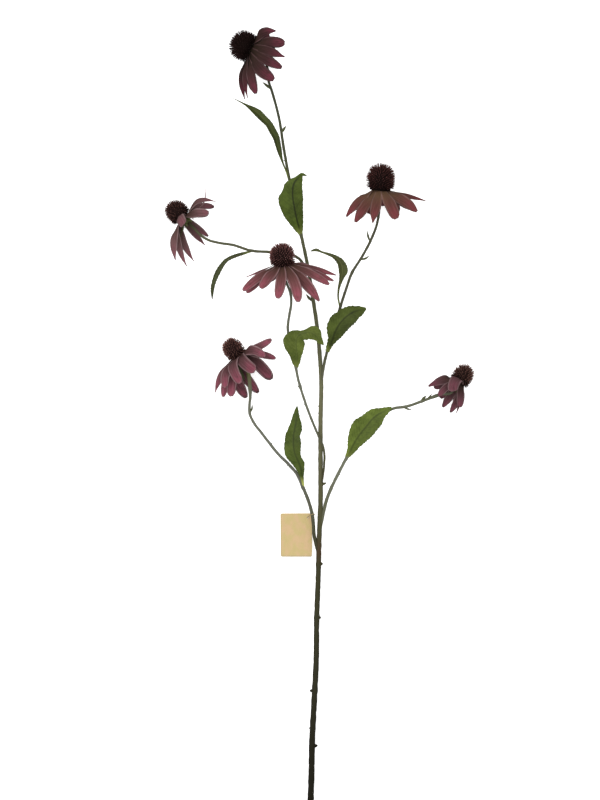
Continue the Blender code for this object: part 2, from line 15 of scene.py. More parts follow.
import bpy
import numpy as np
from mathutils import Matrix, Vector


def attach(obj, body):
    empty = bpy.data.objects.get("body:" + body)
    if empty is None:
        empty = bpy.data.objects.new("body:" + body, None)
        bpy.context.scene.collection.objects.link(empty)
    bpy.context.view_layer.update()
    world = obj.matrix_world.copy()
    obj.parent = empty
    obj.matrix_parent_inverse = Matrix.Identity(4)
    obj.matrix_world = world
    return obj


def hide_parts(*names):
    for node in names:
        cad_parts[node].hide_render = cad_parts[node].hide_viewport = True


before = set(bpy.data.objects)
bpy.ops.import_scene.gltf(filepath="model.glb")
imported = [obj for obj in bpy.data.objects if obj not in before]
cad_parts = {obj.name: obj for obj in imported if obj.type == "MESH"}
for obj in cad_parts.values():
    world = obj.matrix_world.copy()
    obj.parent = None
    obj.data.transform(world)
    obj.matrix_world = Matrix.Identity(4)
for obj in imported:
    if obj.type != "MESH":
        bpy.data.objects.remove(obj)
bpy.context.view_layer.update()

LOG = logging.getLogger("coneflower_spray")
BODY = "root"
METRES = 0.001
UP = np.array([0.0, 0.0, 1.0])
GOLDEN_TURN = math.pi * (3.0 - math.sqrt(5.0))
PATTERN_MAP = "Pattern"
LIGHT_LEVEL = 1.43
WHITE = (1.0, 1.0, 1.0, 1.0)

# What a mesh and the paint on it have in common: where a petal's grooves lie, as a share of its half width,
# a leaf's vein spacing in millimetres, and how far a vein runs on for each millimetre across.
GROOVE_PLACE = 0.36
VEIN_SPACING = 4.2
VEIN_SLANT = 1.1

# The least radius of a turned surface, which closes its poles.
POLE_RADIUS = 0.05

Colour = tuple[float, float, float]
Spot = tuple[float, float, float]


class Slot(Enum):
    """The record's material slots."""

    PETAL = "petal"
    CONE = "cone"
    CALYX = "calyx"
    LEAF = "leaf"
    STEM = "stem"
    CARD = "card"
    THREAD = "thread"


class Ring(Enum):
    """The two rings of petals on a head."""

    UPPER = "upper"
    LOWER = "lower"


@dataclass(frozen=True)
class Layout:
    """The photograph's frame laid on the floor, with the eye straight above its middle."""

    mm_per_column: float = 1.2
    columns: float = 600.0
    rows: float = 800.0
    eye_height: float = 3000.0
    outline_middle: tuple[float, float] = (22.56, -26.74)

    def place(self, spots: object) -> np.ndarray:
        """Put spots into the frame. What is nearer the eye looks larger, so it lies closer to the middle.

        Args:
            spots: Rows of (column, row, height, ...); what follows the height is left out.

        Returns:
            Rows of x, y and z in millimetres.
        """
        column, row, height = np.atleast_2d(np.array([spot[:3] for spot in spots], float)).T
        scale = self.mm_per_column * (1.0 - height / self.eye_height)
        x = (column - self.columns / 2) * scale - self.outline_middle[0]
        y = (self.rows / 2 - row) * scale - self.outline_middle[1]
        return np.column_stack([x, y, height])


LAYOUT = Layout()


def unit(vectors: np.ndarray) -> np.ndarray:
    """Return the vectors of the last axis at length one."""
    return vectors / np.linalg.norm(vectors, axis=-1, keepdims=True)


def ease(values: object, low: float = 0.0, high: float = 1.0) -> np.ndarray:
    """Return 3x^2 - 2x^3 of how far the values have come from low to high."""
    x = np.clip((np.asarray(values, float) - low) / (high - low), 0.0, 1.0)
    return x * x * (3.0 - 2.0 * x)


def smooth_line(points: object, count: int) -> np.ndarray:
    """Read evenly spaced places off one smooth curve through the points.

    Each span is the cubic that meets both its ends with the slopes of the points' own spacing there.

    Args:
        points: Rows that start with x, y and z; further columns are carried along.
        count: How many places to return.

    Returns:
        Rows like those of the points.
    """
    points = np.asarray(points, float)
    knots = np.concatenate([[0.0], np.cumsum(np.linalg.norm(np.diff(points[:, :3], axis=0), axis=1))])
    slopes = np.gradient(points, knots, axis=0)
    wanted = np.linspace(0.0, knots[-1], count)
    before = np.clip(np.searchsorted(knots, wanted, side="right") - 1, 0, len(knots) - 2)
    span = (knots[before + 1] - knots[before])[:, None]
    s = (wanted - knots[before])[:, None] / span
    start = (2 * s**3 - 3 * s**2 + 1) * points[before] + (s**3 - 2 * s**2 + s) * span * slopes[before]
    end = (3 * s**2 - 2 * s**3) * points[before + 1] + (s**3 - s**2) * span * slopes[before + 1]
    return start + end


def travelled(line: np.ndarray) -> np.ndarray:
    """Return the distance along a line of places at each of them."""
    return np.concatenate([[0.0], np.cumsum(np.linalg.norm(np.diff(line[:, :3], axis=0), axis=1))])


def axes_along(line: np.ndarray) -> tuple[np.ndarray, np.ndarray, np.ndarray]:
    """Return a line's run, its level sideways direction and the third direction, which leans to the sky."""
    run = unit(np.gradient(line[:, :3], axis=0))
    side = unit(np.cross(UP, run))
    return run, side, np.cross(run, side)


def even_turns(count: int) -> np.ndarray:
    """Return evenly spaced angles round a circle, in radians."""
    return np.arange(count) * math.tau / count


def rings(
    middles: np.ndarray, radius: object, first: np.ndarray, second: np.ndarray, sides: int
) -> np.ndarray:
    """Put a ring round each middle: the middle plus the radius times (cos a first + sin a second).

    Args:
        middles: Rows of places.
        radius: The rings' radius, one number or one for each row.
        first: The direction at the angle a = 0, one for all or one for each row.
        second: The direction a quarter turn further on, likewise.
        sides: How many places a ring has.

    Returns:
        Rows by sides of places.
    """
    turns = even_turns(sides)[:, None]
    around = np.cos(turns) * first[..., None, :] + np.sin(turns) * second[..., None, :]
    return middles[:, None] + np.reshape(radius, (-1, 1, 1)) * around


def waves(seed: int, *coordinates: np.ndarray, count: int = 6, reach: float = 1.0) -> np.ndarray:
    """Return a mild irregular field: seeded sines, added and divided by the square root of their count.

    Args:
        seed: Fixes the field.
        coordinates: Arrays of one shape, in radians or in any length.
        count: How many sines are added.
        reach: The largest rate along each coordinate.

    Returns:
        An array of that shape, mostly within -1 and 1.
    """
    random = np.random.default_rng(seed)
    shape = (count, len(coordinates))
    rates = random.uniform(0.3, 1.0, shape) * random.choice([-1, 1], shape)
    phases = random.uniform(0.0, math.tau, count)
    total = 0.0
    for rate, phase in zip(rates * reach, phases):
        total = total + np.sin(sum(r * c for r, c in zip(rate, coordinates)) + phase)
    return total / math.sqrt(count)


class Skin:
    """One mesh under construction: surfaces on grids, with a pattern map and named values."""

    VALUES = ("along", "edge", "tint", "face")

    def __init__(self) -> None:
        """Start with no places and no faces."""
        self.places: list[np.ndarray] = []
        self.values: dict[str, list[np.ndarray]] = {name: [] for name in self.VALUES}
        self.corners: list[np.ndarray] = []
        self.sizes: list[np.ndarray] = []
        self.pattern: list[np.ndarray] = []
        self.count = 0

    def _add_faces(self, faces: np.ndarray, pattern: np.ndarray) -> None:
        """Store faces of one size with their corners' pattern coordinates."""
        self.corners.append(faces.ravel())
        self.sizes.append(np.full(len(faces), faces.shape[1]))
        self.pattern.append(pattern.reshape(-1, 2))

    def _add_places(self, places: np.ndarray, values: dict[str, object]) -> None:
        """Store places with their named values; a value that isn't given is zero."""
        self.places.append(places.reshape(-1, 3))
        for name, stored in self.values.items():
            value = np.broadcast_to(np.asarray(values.get(name, 0.0), float), places.shape[:-1])
            stored.append(value.ravel())
        self.count += places[..., 0].size

    def add_grid(
        self, grid: np.ndarray, girth: np.ndarray, run: np.ndarray, caps: bool = False,
        looped: bool = False, **values: object,
    ) -> None:
        """Add a surface whose faces join neighbouring places of a grid.

        Rows follow the surface's run, and columns go round it clockwise as seen from its start. The last
        column joins the first, caps close the ends on their middles, and a looped surface joins its last
        row to its first instead.

        Args:
            grid: Rows by columns of places in millimetres.
            girth: Pattern coordinate round it by row and column, with one column more than the grid.
            run: The other pattern coordinate, likewise, with one row more where looped.
            caps: Whether both ends are closed.
            looped: Whether the rows close to a loop too.
            **values: Named values, each a number or an array of the grid's shape.
        """
        rows, columns = grid.shape[:2]
        index = self.count + np.arange(rows * columns).reshape(rows, columns)
        index = np.column_stack([index, index[:, :1]])
        if looped:
            index = np.concatenate([index, index[:1]])
        shape = index.shape
        pattern = np.stack([np.broadcast_to(girth, shape), np.broadcast_to(run, shape)], axis=-1)
        self._add_places(grid, values)
        corners = (np.s_[:-1, :-1], np.s_[:-1, 1:], np.s_[1:, 1:], np.s_[1:, :-1])
        self._add_faces(
            np.stack([index[part] for part in corners], axis=-1).reshape(-1, 4),
            np.stack([pattern[part] for part in corners], axis=-2).reshape(-1, 4, 2),
        )
        if not caps:
            return
        for end, order in ((0, 1), (-1, -1)):
            middle = self.count
            own = {
                name: float(np.mean(np.broadcast_to(np.asarray(value, float), grid.shape[:2])[end]))
                for name, value in values.items()
            }
            self._add_places(grid[end].mean(axis=0)[None], own)
            ring, marks = index[end][::order], pattern[end][::order]
            fan = np.column_stack([ring[1:], ring[:-1], np.full(len(ring) - 1, middle)])
            centre = np.broadcast_to(marks.mean(axis=0), marks[1:].shape)
            self._add_faces(fan, np.stack([marks[1:], marks[:-1], centre], axis=1))

    def add_copies(
        self, places: np.ndarray, faces: tuple[np.ndarray, ...], pattern: np.ndarray, **values: object
    ) -> None:
        """Add many copies of one small shape.

        Args:
            places: Copies by corners by three, in millimetres.
            faces: The shape's faces as rows of its own corners' numbers, one array for each size of face.
            pattern: The pattern coordinates of the shape's corners.
            **values: Named values, each of a shape that fits copies by corners.
        """
        copies, corners = places.shape[:2]
        starts = self.count + corners * np.arange(copies)
        self._add_places(places, values)
        for kind in faces:
            every = (starts[:, None, None] + kind[None]).reshape(-1, kind.shape[1])
            self._add_faces(every, np.tile(pattern[kind], (copies, 1, 1)))

    def add_sheet(
        self, face: np.ndarray, normal: np.ndarray, thickness: float, distance: np.ndarray, tint: float = 0.5
    ) -> None:
        """Add a thin leaf of cloth as one closed surface that is thickest in the middle.

        A place of the surface is the middle sheet's place plus or minus half the thickness along the
        normal, times (1 - s^6), where s runs from -1 to 1 across. Both faces meet at the rims.

        Args:
            face: Rows by columns of places on the middle sheet.
            normal: The sheet's upper side at each of them.
            thickness: Its full thickness in millimetres.
            distance: The distance along it at each row, in millimetres.
            tint: The piece's own shade, 0 to 1, which on petals is also raised to paint light on those that
                lie in the shade of others.
        """
        rows, columns = face.shape[:2]
        s = np.linspace(-1.0, 1.0, columns)
        lift = 0.5 * thickness * (1.0 - s**6)[None, :, None] * normal
        loop = np.concatenate([(face + lift)[:, ::-1], (face - lift)[:, 1:-1]], axis=1)
        order = np.concatenate([s[::-1], s[1:-1], s[-1:]])
        half = 0.5 * np.linalg.norm(face[:, -1] - face[:, 0], axis=1)
        side = np.concatenate([np.ones(columns), np.zeros(columns - 2)])
        along = np.repeat((distance / distance[-1])[:, None], 2 * columns - 2, axis=1)
        self.add_grid(
            loop, half[:, None] * order[None], np.broadcast_to(distance[:, None], (rows, 1)), caps=True,
            along=along, edge=np.abs(order[:-1])[None], tint=tint, face=side[None],
        )

    def finish(self, name: str) -> bpy.types.Object:
        """Make the mesh and its object, at the origin.

        Args:
            name: The piece's name.

        Returns:
            The object, in the scene.
        """
        mesh = bpy.data.meshes.new(name)
        corners, sizes = np.concatenate(self.corners), np.concatenate(self.sizes)
        mesh.vertices.add(self.count)
        mesh.vertices.foreach_set("co", (np.concatenate(self.places) * METRES).ravel())
        mesh.loops.add(len(corners))
        mesh.loops.foreach_set("vertex_index", corners)
        mesh.polygons.add(len(sizes))
        mesh.polygons.foreach_set("loop_start", np.concatenate([[0], np.cumsum(sizes)[:-1]]))
        mesh.polygons.foreach_set("loop_total", sizes)
        mesh.update(calc_edges=True)
        mesh.uv_layers.new(name=PATTERN_MAP).data.foreach_set("uv", np.concatenate(self.pattern).ravel())
        for value_name, stored in self.values.items():
            attribute = mesh.attributes.new(value_name, "FLOAT", "POINT")
            attribute.data.foreach_set("value", np.concatenate(stored))
        mesh.shade_smooth()
        piece = bpy.data.objects.new(name, mesh)
        bpy.context.scene.collection.objects.link(piece)
        return piece


class Value:
    """A number in a shader tree: a socket, with the operators that shader maths is written in."""

    def __init__(self, graph: Graph, socket: bpy.types.NodeSocket) -> None:
        """Wrap a socket of the graph."""
        self.graph, self.socket = graph, socket

    def __add__(self, other: object) -> Value:
        """Add."""
        return self.graph.maths("ADD", self, other)

    def __sub__(self, other: object) -> Value:
        """Subtract."""
        return self.graph.maths("SUBTRACT", self, other)

    def __rsub__(self, other: object) -> Value:
        """Subtract from a number."""
        return self.graph.maths("SUBTRACT", other, self)

    def __mul__(self, other: object) -> Value:
        """Multiply."""
        return self.graph.maths("MULTIPLY", self, other)

    def __truediv__(self, other: object) -> Value:
        """Divide."""
        return self.graph.maths("DIVIDE", self, other)

    def __abs__(self) -> Value:
        """Drop the sign."""
        return self.graph.maths("ABSOLUTE", self)

    __radd__ = __add__
    __rmul__ = __mul__

    def clamp(self) -> Value:
        """Keep within 0 and 1."""
        return self.graph.maths("ADD", self, 0.0, use_clamp=True)

    def fold(self, span: float) -> Value:
        """Run up to the span and back down again, over and over."""
        return self.graph.maths("PINGPONG", self, span)

    def ease(self, low: float, high: float) -> Value:
        """Rise smoothly from 0 at low to 1 at high, or fall where low is the larger."""
        flip = low > high
        ends = {1: min(low, high), 2: max(low, high), 3: 1.0 if flip else 0.0, 4: 0.0 if flip else 1.0}
        made = self.graph.node("ShaderNodeMapRange", {0: self, **ends}, interpolation_type="SMOOTHSTEP")
        return Value(self.graph, made.outputs[0])


def shade(red: float, green: float, blue: float) -> tuple[float, float, float, float]:
    """Return the reflectance that looks like this colour of 0 to 255 steps under the studio's light."""
    steps = [step / 255.0 for step in (red, green, blue)]
    linear = [s / 12.92 if s <= 0.04045 else ((s + 0.055) / 1.055) ** 2.4 for s in steps]
    return (*(value / LIGHT_LEVEL for value in linear), 1.0)


class Graph:
    """One material's node tree."""

    def __init__(self, name: str) -> None:
        """Make a material with an empty tree but for its shader and its output."""
        self.material = bpy.data.materials.new(name)
        self.material.use_nodes = True
        self.tree = self.material.node_tree
        self.shader = self.tree.nodes["Principled BSDF"]

    def feed(self, socket: bpy.types.NodeSocket, value: object) -> None:
        """Link a value to a socket, or set it to a plain number or to a Colour's shade."""
        if isinstance(value, Value):
            value = value.socket
        if isinstance(value, bpy.types.NodeSocket):
            self.tree.links.new(value, socket)
        else:
            socket.default_value = shade(*value) if isinstance(value, tuple) else value

    def node(self, kind: str, inputs: dict | None = None, **settings: object) -> bpy.types.Node:
        """Add any node.

        Args:
            kind: Its type.
            inputs: Values or links by socket name or number.
            **settings: Its own settings, made first. stops are a ramp's places and colours.

        Returns:
            The node.
        """
        made = self.tree.nodes.new(kind)
        for name, setting in settings.items():
            if name == "stops":
                ramp = made.color_ramp.elements
                ramp.remove(ramp[-1])
                ramp[0].position, ramp[0].color = setting[0]
                for position, colour in setting[1:]:
                    ramp.new(position).color = colour
            else:
                setattr(made, name, setting)
        for name, value in (inputs or {}).items():
            self.feed(made.inputs[name], value)
        return made

    def maths(self, operation: str, first: object, second: object = 0.0, **settings: object) -> Value:
        """Add one step of maths on numbers."""
        made = self.node("ShaderNodeMath", {0: first, 1: second}, operation=operation, **settings)
        return Value(self, made.outputs[0])

    def value(self, name: str) -> Value:
        """Read one of the mesh's named values."""
        return Value(self, self.node("ShaderNodeAttribute", attribute_name=name).outputs["Fac"])

    def pattern(self) -> tuple[Value, Value]:
        """Return the pattern map's two coordinates, in millimetres."""
        place = self.node("ShaderNodeUVMap", uv_map=PATTERN_MAP)
        parts = self.node("ShaderNodeSeparateXYZ", {0: place.outputs[0]})
        return Value(self, parts.outputs[0]), Value(self, parts.outputs[1])

    def vector(self, x: object, y: object, z: object = 0.0) -> bpy.types.NodeSocket:
        """Join three numbers to a vector."""
        return self.node("ShaderNodeCombineXYZ", {0: x, 1: y, 2: z}).outputs[0]

    def object_place(self) -> bpy.types.NodeSocket:
        """Return the object's own coordinates, in metres."""
        return self.node("ShaderNodeTexCoord").outputs["Object"]

    def noise(self, place: object, scale: float, detail: float, roughness: float = 0.5) -> Value:
        """Return cloudy noise, 0 to 1 round one half."""
        inputs = {"Vector": place, "Scale": scale, "Detail": detail, "Roughness": roughness}
        return Value(self, self.node("ShaderNodeTexNoise", inputs).outputs[0])

    def mix(self, factor: object, first: object, second: object, blend: str = "MIX") -> bpy.types.NodeSocket:
        """Mix two colours."""
        inputs = {0: factor, 6: first, 7: second}
        return self.node("ShaderNodeMix", inputs, data_type="RGBA", blend_type=blend).outputs[2]

    def brighten(self, colour: object, amount: Value) -> bpy.types.NodeSocket:
        """Multiply a colour by a number."""
        grey = self.node("ShaderNodeCombineColor", {0: amount, 1: amount, 2: amount}).outputs[0]
        return self.mix(1.0, colour, grey, blend="MULTIPLY")

    def finish(
        self, colour: object, roughness: object, relief: Value | None = None, depth: float = 0.0,
        **constants: object,
    ) -> bpy.types.Material:
        """Connect the shader.

        Args:
            colour: Base colour.
            roughness: Roughness.
            relief: Height of the fine relief, 0 to 1, or nothing.
            depth: Depth of that relief in millimetres.
            **constants: Further shader inputs that are the same all over, with _ for a space.

        Returns:
            The material.
        """
        self.feed(self.shader.inputs["Base Color"], colour)
        self.feed(self.shader.inputs["Roughness"], roughness)
        for name, value in constants.items():
            self.shader.inputs[name.replace("_", " ")].default_value = value
        if relief is not None:
            inputs = {"Strength": 1.0, "Distance": depth * METRES, "Height": relief}
            bump = self.node("ShaderNodeBump", inputs)
            self.feed(self.shader.inputs["Normal"], bump.outputs["Normal"])
        return self.material


def put_on(piece: bpy.types.Object, slot: Slot, material: bpy.types.Material, *nodes: str) -> None:
    """Give a finished piece its material and its body, and hide the CAD nodes that it stands for.

    Args:
        piece: The piece.
        slot: Its slot in the record; not used.
        material: Its material.
        *nodes: The CAD nodes that it replaces.
    """
    piece.data.materials.append(material)
    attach(piece, BODY)
    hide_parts(*nodes)
    triangles = sum(len(face.vertices) - 2 for face in piece.data.polygons)
    LOG.info("%s: %d triangles", piece.name, triangles)


class Finish:
    """A finish of the spray, which paints the material of the piece that wears it."""

    def make(self, name: str) -> bpy.types.Material:
        """Make the material.

        Args:
            name: The material's name.

        Returns:
            The material, for a mesh made by a Skin.
        """
        return self.paint(Graph(name))

    def paint(self, graph: Graph) -> bpy.types.Material:
        """Fill an empty tree and return its material."""
        raise NotImplementedError


@dataclass(frozen=True)
class PetalFinish(Finish):
    """Pressed cloth: darker root, flush before the tip, pale rims, fine threads; painted shadow at the edge
    and underneath.
    """

    root: Colour
    blade: Colour
    flush: Colour
    rim: Colour
    flush_share: float

    def paint(self, graph: Graph) -> bpy.types.Material:
        """Paint petals: the cloth's threads, streaks and clouds run along them."""
        across, distance = graph.pattern()
        along, edge, tint, face = (graph.value(value) for value in Skin.VALUES)
        seed = tint * 40.0
        threads = graph.noise(graph.vector(across * 2.4, distance * 0.10, seed), 1.0, 3.0, 0.6)
        cloud = graph.noise(graph.vector(across * 0.25, distance * 0.12, seed), 1.0, 2.0)
        streaks = graph.noise(graph.vector(across * 0.85, distance * 0.05, seed + 3.0), 1.0, 2.0, 0.6)
        groove = abs(edge - GROOVE_PLACE).ease(0.12, 0.0) * (0.16 * along.ease(0.3, 0.7))
        colour = graph.mix(along.ease(0.04, 0.62), self.root, self.blade)
        glow = along.ease(0.48, 0.86) * along.ease(1.05, 0.93) * edge.ease(0.98, 0.35) * cloud.ease(0.2, 0.55)
        colour = graph.mix((glow * self.flush_share).clamp(), colour, self.flush)
        pale = edge.ease(0.60, 0.92) * 0.75 + groove + along.ease(0.93, 1.0) * 0.4
        colour = graph.mix((pale * threads.ease(0.2, 0.6)).clamp(), colour, self.rim)
        # Painted shadow: the very edge of every petal is darkened towards the root colour.
        colour = graph.mix(edge.ease(0.93, 1.0) * 0.6, colour, self.root)
        # tint brightens or darkens the whole petal; raised on petals in the shade of others, it is painted
        # light.
        light = 0.34 + threads * 0.50 + streaks * 0.82 + (tint - 0.5) * 0.36
        # Painted shade: the underside (face 0) is 15 per cent darker than the upper side.
        colour = graph.brighten(colour, light * (0.85 + face * 0.15))
        weave = graph.noise(graph.vector(across * 5.0, distance * 5.0, seed), 1.0, 1.0)
        relief = threads * 0.8 + weave * 0.2
        return graph.finish(colour, 0.62 + threads * 0.25, relief, 0.35, Specular_IOR_Level=0.08)


@dataclass(frozen=True)
class ConeFinish(Finish):
    """Moulded spikes: painted nearly black at their feet and on the body between them, as shade, and lighter
    at the tips.

    crowding makes up for the light that is lost between them. The lowest spikes are painted darkest, as shade
    under the cone.
    """

    hollow_shade: Colour
    spike: Colour
    tip: Colour
    crowding: float = 2.9

    def paint(self, graph: Graph) -> bpy.types.Material:
        """Paint a cone, whose edge value is the share of its height."""
        along, height, tint, _ = (graph.value(value) for value in Skin.VALUES)
        grain = graph.noise(graph.object_place(), 900.0, 2.0)
        # Painted shade: nearly black at the spikes' feet and on the body between them.
        colour = graph.mix(along.ease(0.05, 0.55), self.hollow_shade, self.spike)
        colour = graph.mix((along.ease(0.6, 1.0) * tint).clamp(), colour, self.tip)
        # Painted shade under the cone: the lower the spike, the darker.
        lit = 0.4 + height.ease(0.0, 0.45) * 0.72
        colour = graph.brighten(colour, self.crowding * (0.55 + tint * 0.6 + grain * 0.3) * lit)
        return graph.finish(colour, 0.5 + grain * 0.3, grain, 0.08, Specular_IOR_Level=0.02)


@dataclass(frozen=True)
class LeafFinish(Finish):
    """Printed cloth: green with slanting side veins, a matt back, and a paler midrib that gives way to a
    painted shadow along the crease.

    left and right are brightness factors for the two halves, as seen looking along the leaf from its stem:
    painted light on the half that faces the light and painted shade on the other.
    """

    blade: Colour
    light: Colour
    dark: Colour
    # root: the colour towards the stalk, the pale bare petiole with a painted highlight on it.
    root: Colour = (120, 130, 62)
    left: float = 1.0
    right: float = 1.0
    crease_shade: float = 0.0

    def paint(self, graph: Graph) -> bpy.types.Material:
        """Paint a leaf: its veins follow those that are pressed into the mesh."""
        across, distance = graph.pattern()
        along, edge, _, face = (graph.value(value) for value in Skin.VALUES)
        cloud = graph.noise(graph.object_place(), 55.0, 3.0, 0.6)
        blotch = graph.noise(graph.object_place(), 260.0, 2.0, 0.6)
        slant = (distance - abs(across) * VEIN_SLANT) / VEIN_SPACING + cloud * 0.5
        vein = slant.fold(0.5).ease(0.11, 0.0) * edge.ease(0.98, 0.6)
        fine = (slant * 4.0 + blotch * 0.8).fold(0.5)
        midrib = abs(across).ease(0.9, 0.25) * along.ease(1.0, 0.7)
        colour = graph.mix(cloud.ease(0.3, 0.7), self.dark, self.blade)
        colour = graph.mix((blotch.ease(0.35, 0.75) * 0.2 + fine * 0.26).clamp(), colour, self.light)
        pale = vein * 0.35 + midrib * (0.6 * (1.0 - self.crease_shade))
        colour = graph.mix(pale.clamp(), colour, self.light)
        # Painted shade in the crease of the fold, darker than the dark green.
        crease_shade = abs(across + 0.5).ease(1.5, 0.3) * along.ease(1.0, 0.75) * self.crease_shade
        colour = graph.mix(crease_shade, colour, tuple(0.55 * step for step in self.dark))
        # Towards the stalk: the petiole's pale colour with a painted highlight.
        colour = graph.mix(along.ease(0.16, 0.02) * 0.8, colour, self.root)
        colour = graph.mix((1.0 - face) * 0.35, colour, self.light)
        # Painted light and shade: one half of the folded leaf is lighter, the other darker.
        side = self.right + across.ease(-1.5, 1.5) * (self.left - self.right)
        patch = graph.noise(graph.object_place(), 38.0, 1.0)
        colour = graph.brighten(colour, (0.56 + blotch * 0.16 + cloud * 0.22 + patch * 0.5) * side)
        relief = 0.5 + vein * 0.25 + midrib * 0.3 + fine * 0.25 + blotch * 0.2
        return graph.finish(colour, 0.46 + blotch * 0.2, relief, 0.35, Specular_IOR_Level=0.12)


@dataclass(frozen=True)
class StemFinish(Finish):
    """Moulded bark, streaked along its run; stops are the colours at shares of its length."""

    stops: tuple[tuple[float, Colour], ...]
    shadow: Colour = (44, 38, 28)

    def paint(self, graph: Graph) -> bpy.types.Material:
        """Paint a stem: its streaks run along it, and its dark spots are short."""
        around, distance = graph.pattern()
        along, _, tint, _ = (graph.value(value) for value in Skin.VALUES)
        streaks = graph.noise(graph.vector(around * 1.3, distance * 0.07, tint * 9.0), 1.0, 4.0, 0.65)
        spots = graph.noise(graph.vector(around * 0.9, distance * 0.6, tint * 5.0), 1.0, 2.0, 0.6)
        stops = [(place, shade(*colour)) for place, colour in self.stops]
        colour = graph.node("ShaderNodeValToRGB", {0: along}, stops=stops).outputs[0]
        colour = graph.mix(spots.ease(0.62, 0.78) * 0.45, colour, self.shadow)
        colour = graph.brighten(colour, 0.55 + streaks * 0.9)
        relief = streaks * 0.7 + spots * 0.3
        return graph.finish(colour, 0.5 + streaks * 0.3, relief, 0.5, Specular_IOR_Level=0.06)


@dataclass(frozen=True)
class CardFinish(Finish):
    """Uncoated kraft card: fibres, a blush in patches, and greyer cut edges."""

    face: Colour = (215, 194, 138)
    blush: Colour = (222, 187, 149)
    fibre: Colour = (196, 166, 112)
    cut: Colour = (188, 174, 140)

    def paint(self, graph: Graph) -> bpy.types.Material:
        """Paint the tag: its fibres lie across it."""
        across, distance = graph.pattern()
        edge = graph.value("edge")
        pulp = graph.noise(graph.vector(across * 0.6, distance * 2.6), 1.0, 4.0, 0.7)
        cloud = graph.noise(graph.vector(across * 0.11, distance * 0.08), 1.0, 2.0)
        colour = graph.mix(cloud.ease(0.38, 0.62) * 0.7, self.face, self.blush)
        colour = graph.mix((pulp.ease(0.5, 0.72) * 0.6).clamp(), colour, self.fibre)
        colour = graph.mix(edge.ease(0.94, 1.0) * 0.6, colour, self.cut)
        colour = graph.brighten(colour, 0.88 + cloud * 0.22)
        return graph.finish(colour, 0.85 + pulp * 0.1, pulp, 0.05, Specular_IOR_Level=0.1)


@dataclass(frozen=True)
class ThreadFinish(Finish):
    """Undyed cotton thread."""

    light: Colour = (206, 186, 142)
    dark: Colour = (150, 128, 88)

    def paint(self, graph: Graph) -> bpy.types.Material:
        """Paint the thread: its fibres run along it."""
        around, distance = graph.pattern()
        fibres = graph.noise(graph.vector(around * 3.0, distance * 1.5), 1.0, 3.0)
        colour = graph.mix(fibres.ease(0.3, 0.7), self.dark, self.light)
        return graph.finish(colour, 0.8 + fibres * 0.15, fibres, 0.05, Specular_IOR_Level=0.2)


@dataclass(frozen=True)
class Nub:
    """A bud or thorn on a stem: the row where it stands, its turn from the right side, and its size."""

    row: float
    turn: float
    length: float
    width: float
    lean: float = 0.5


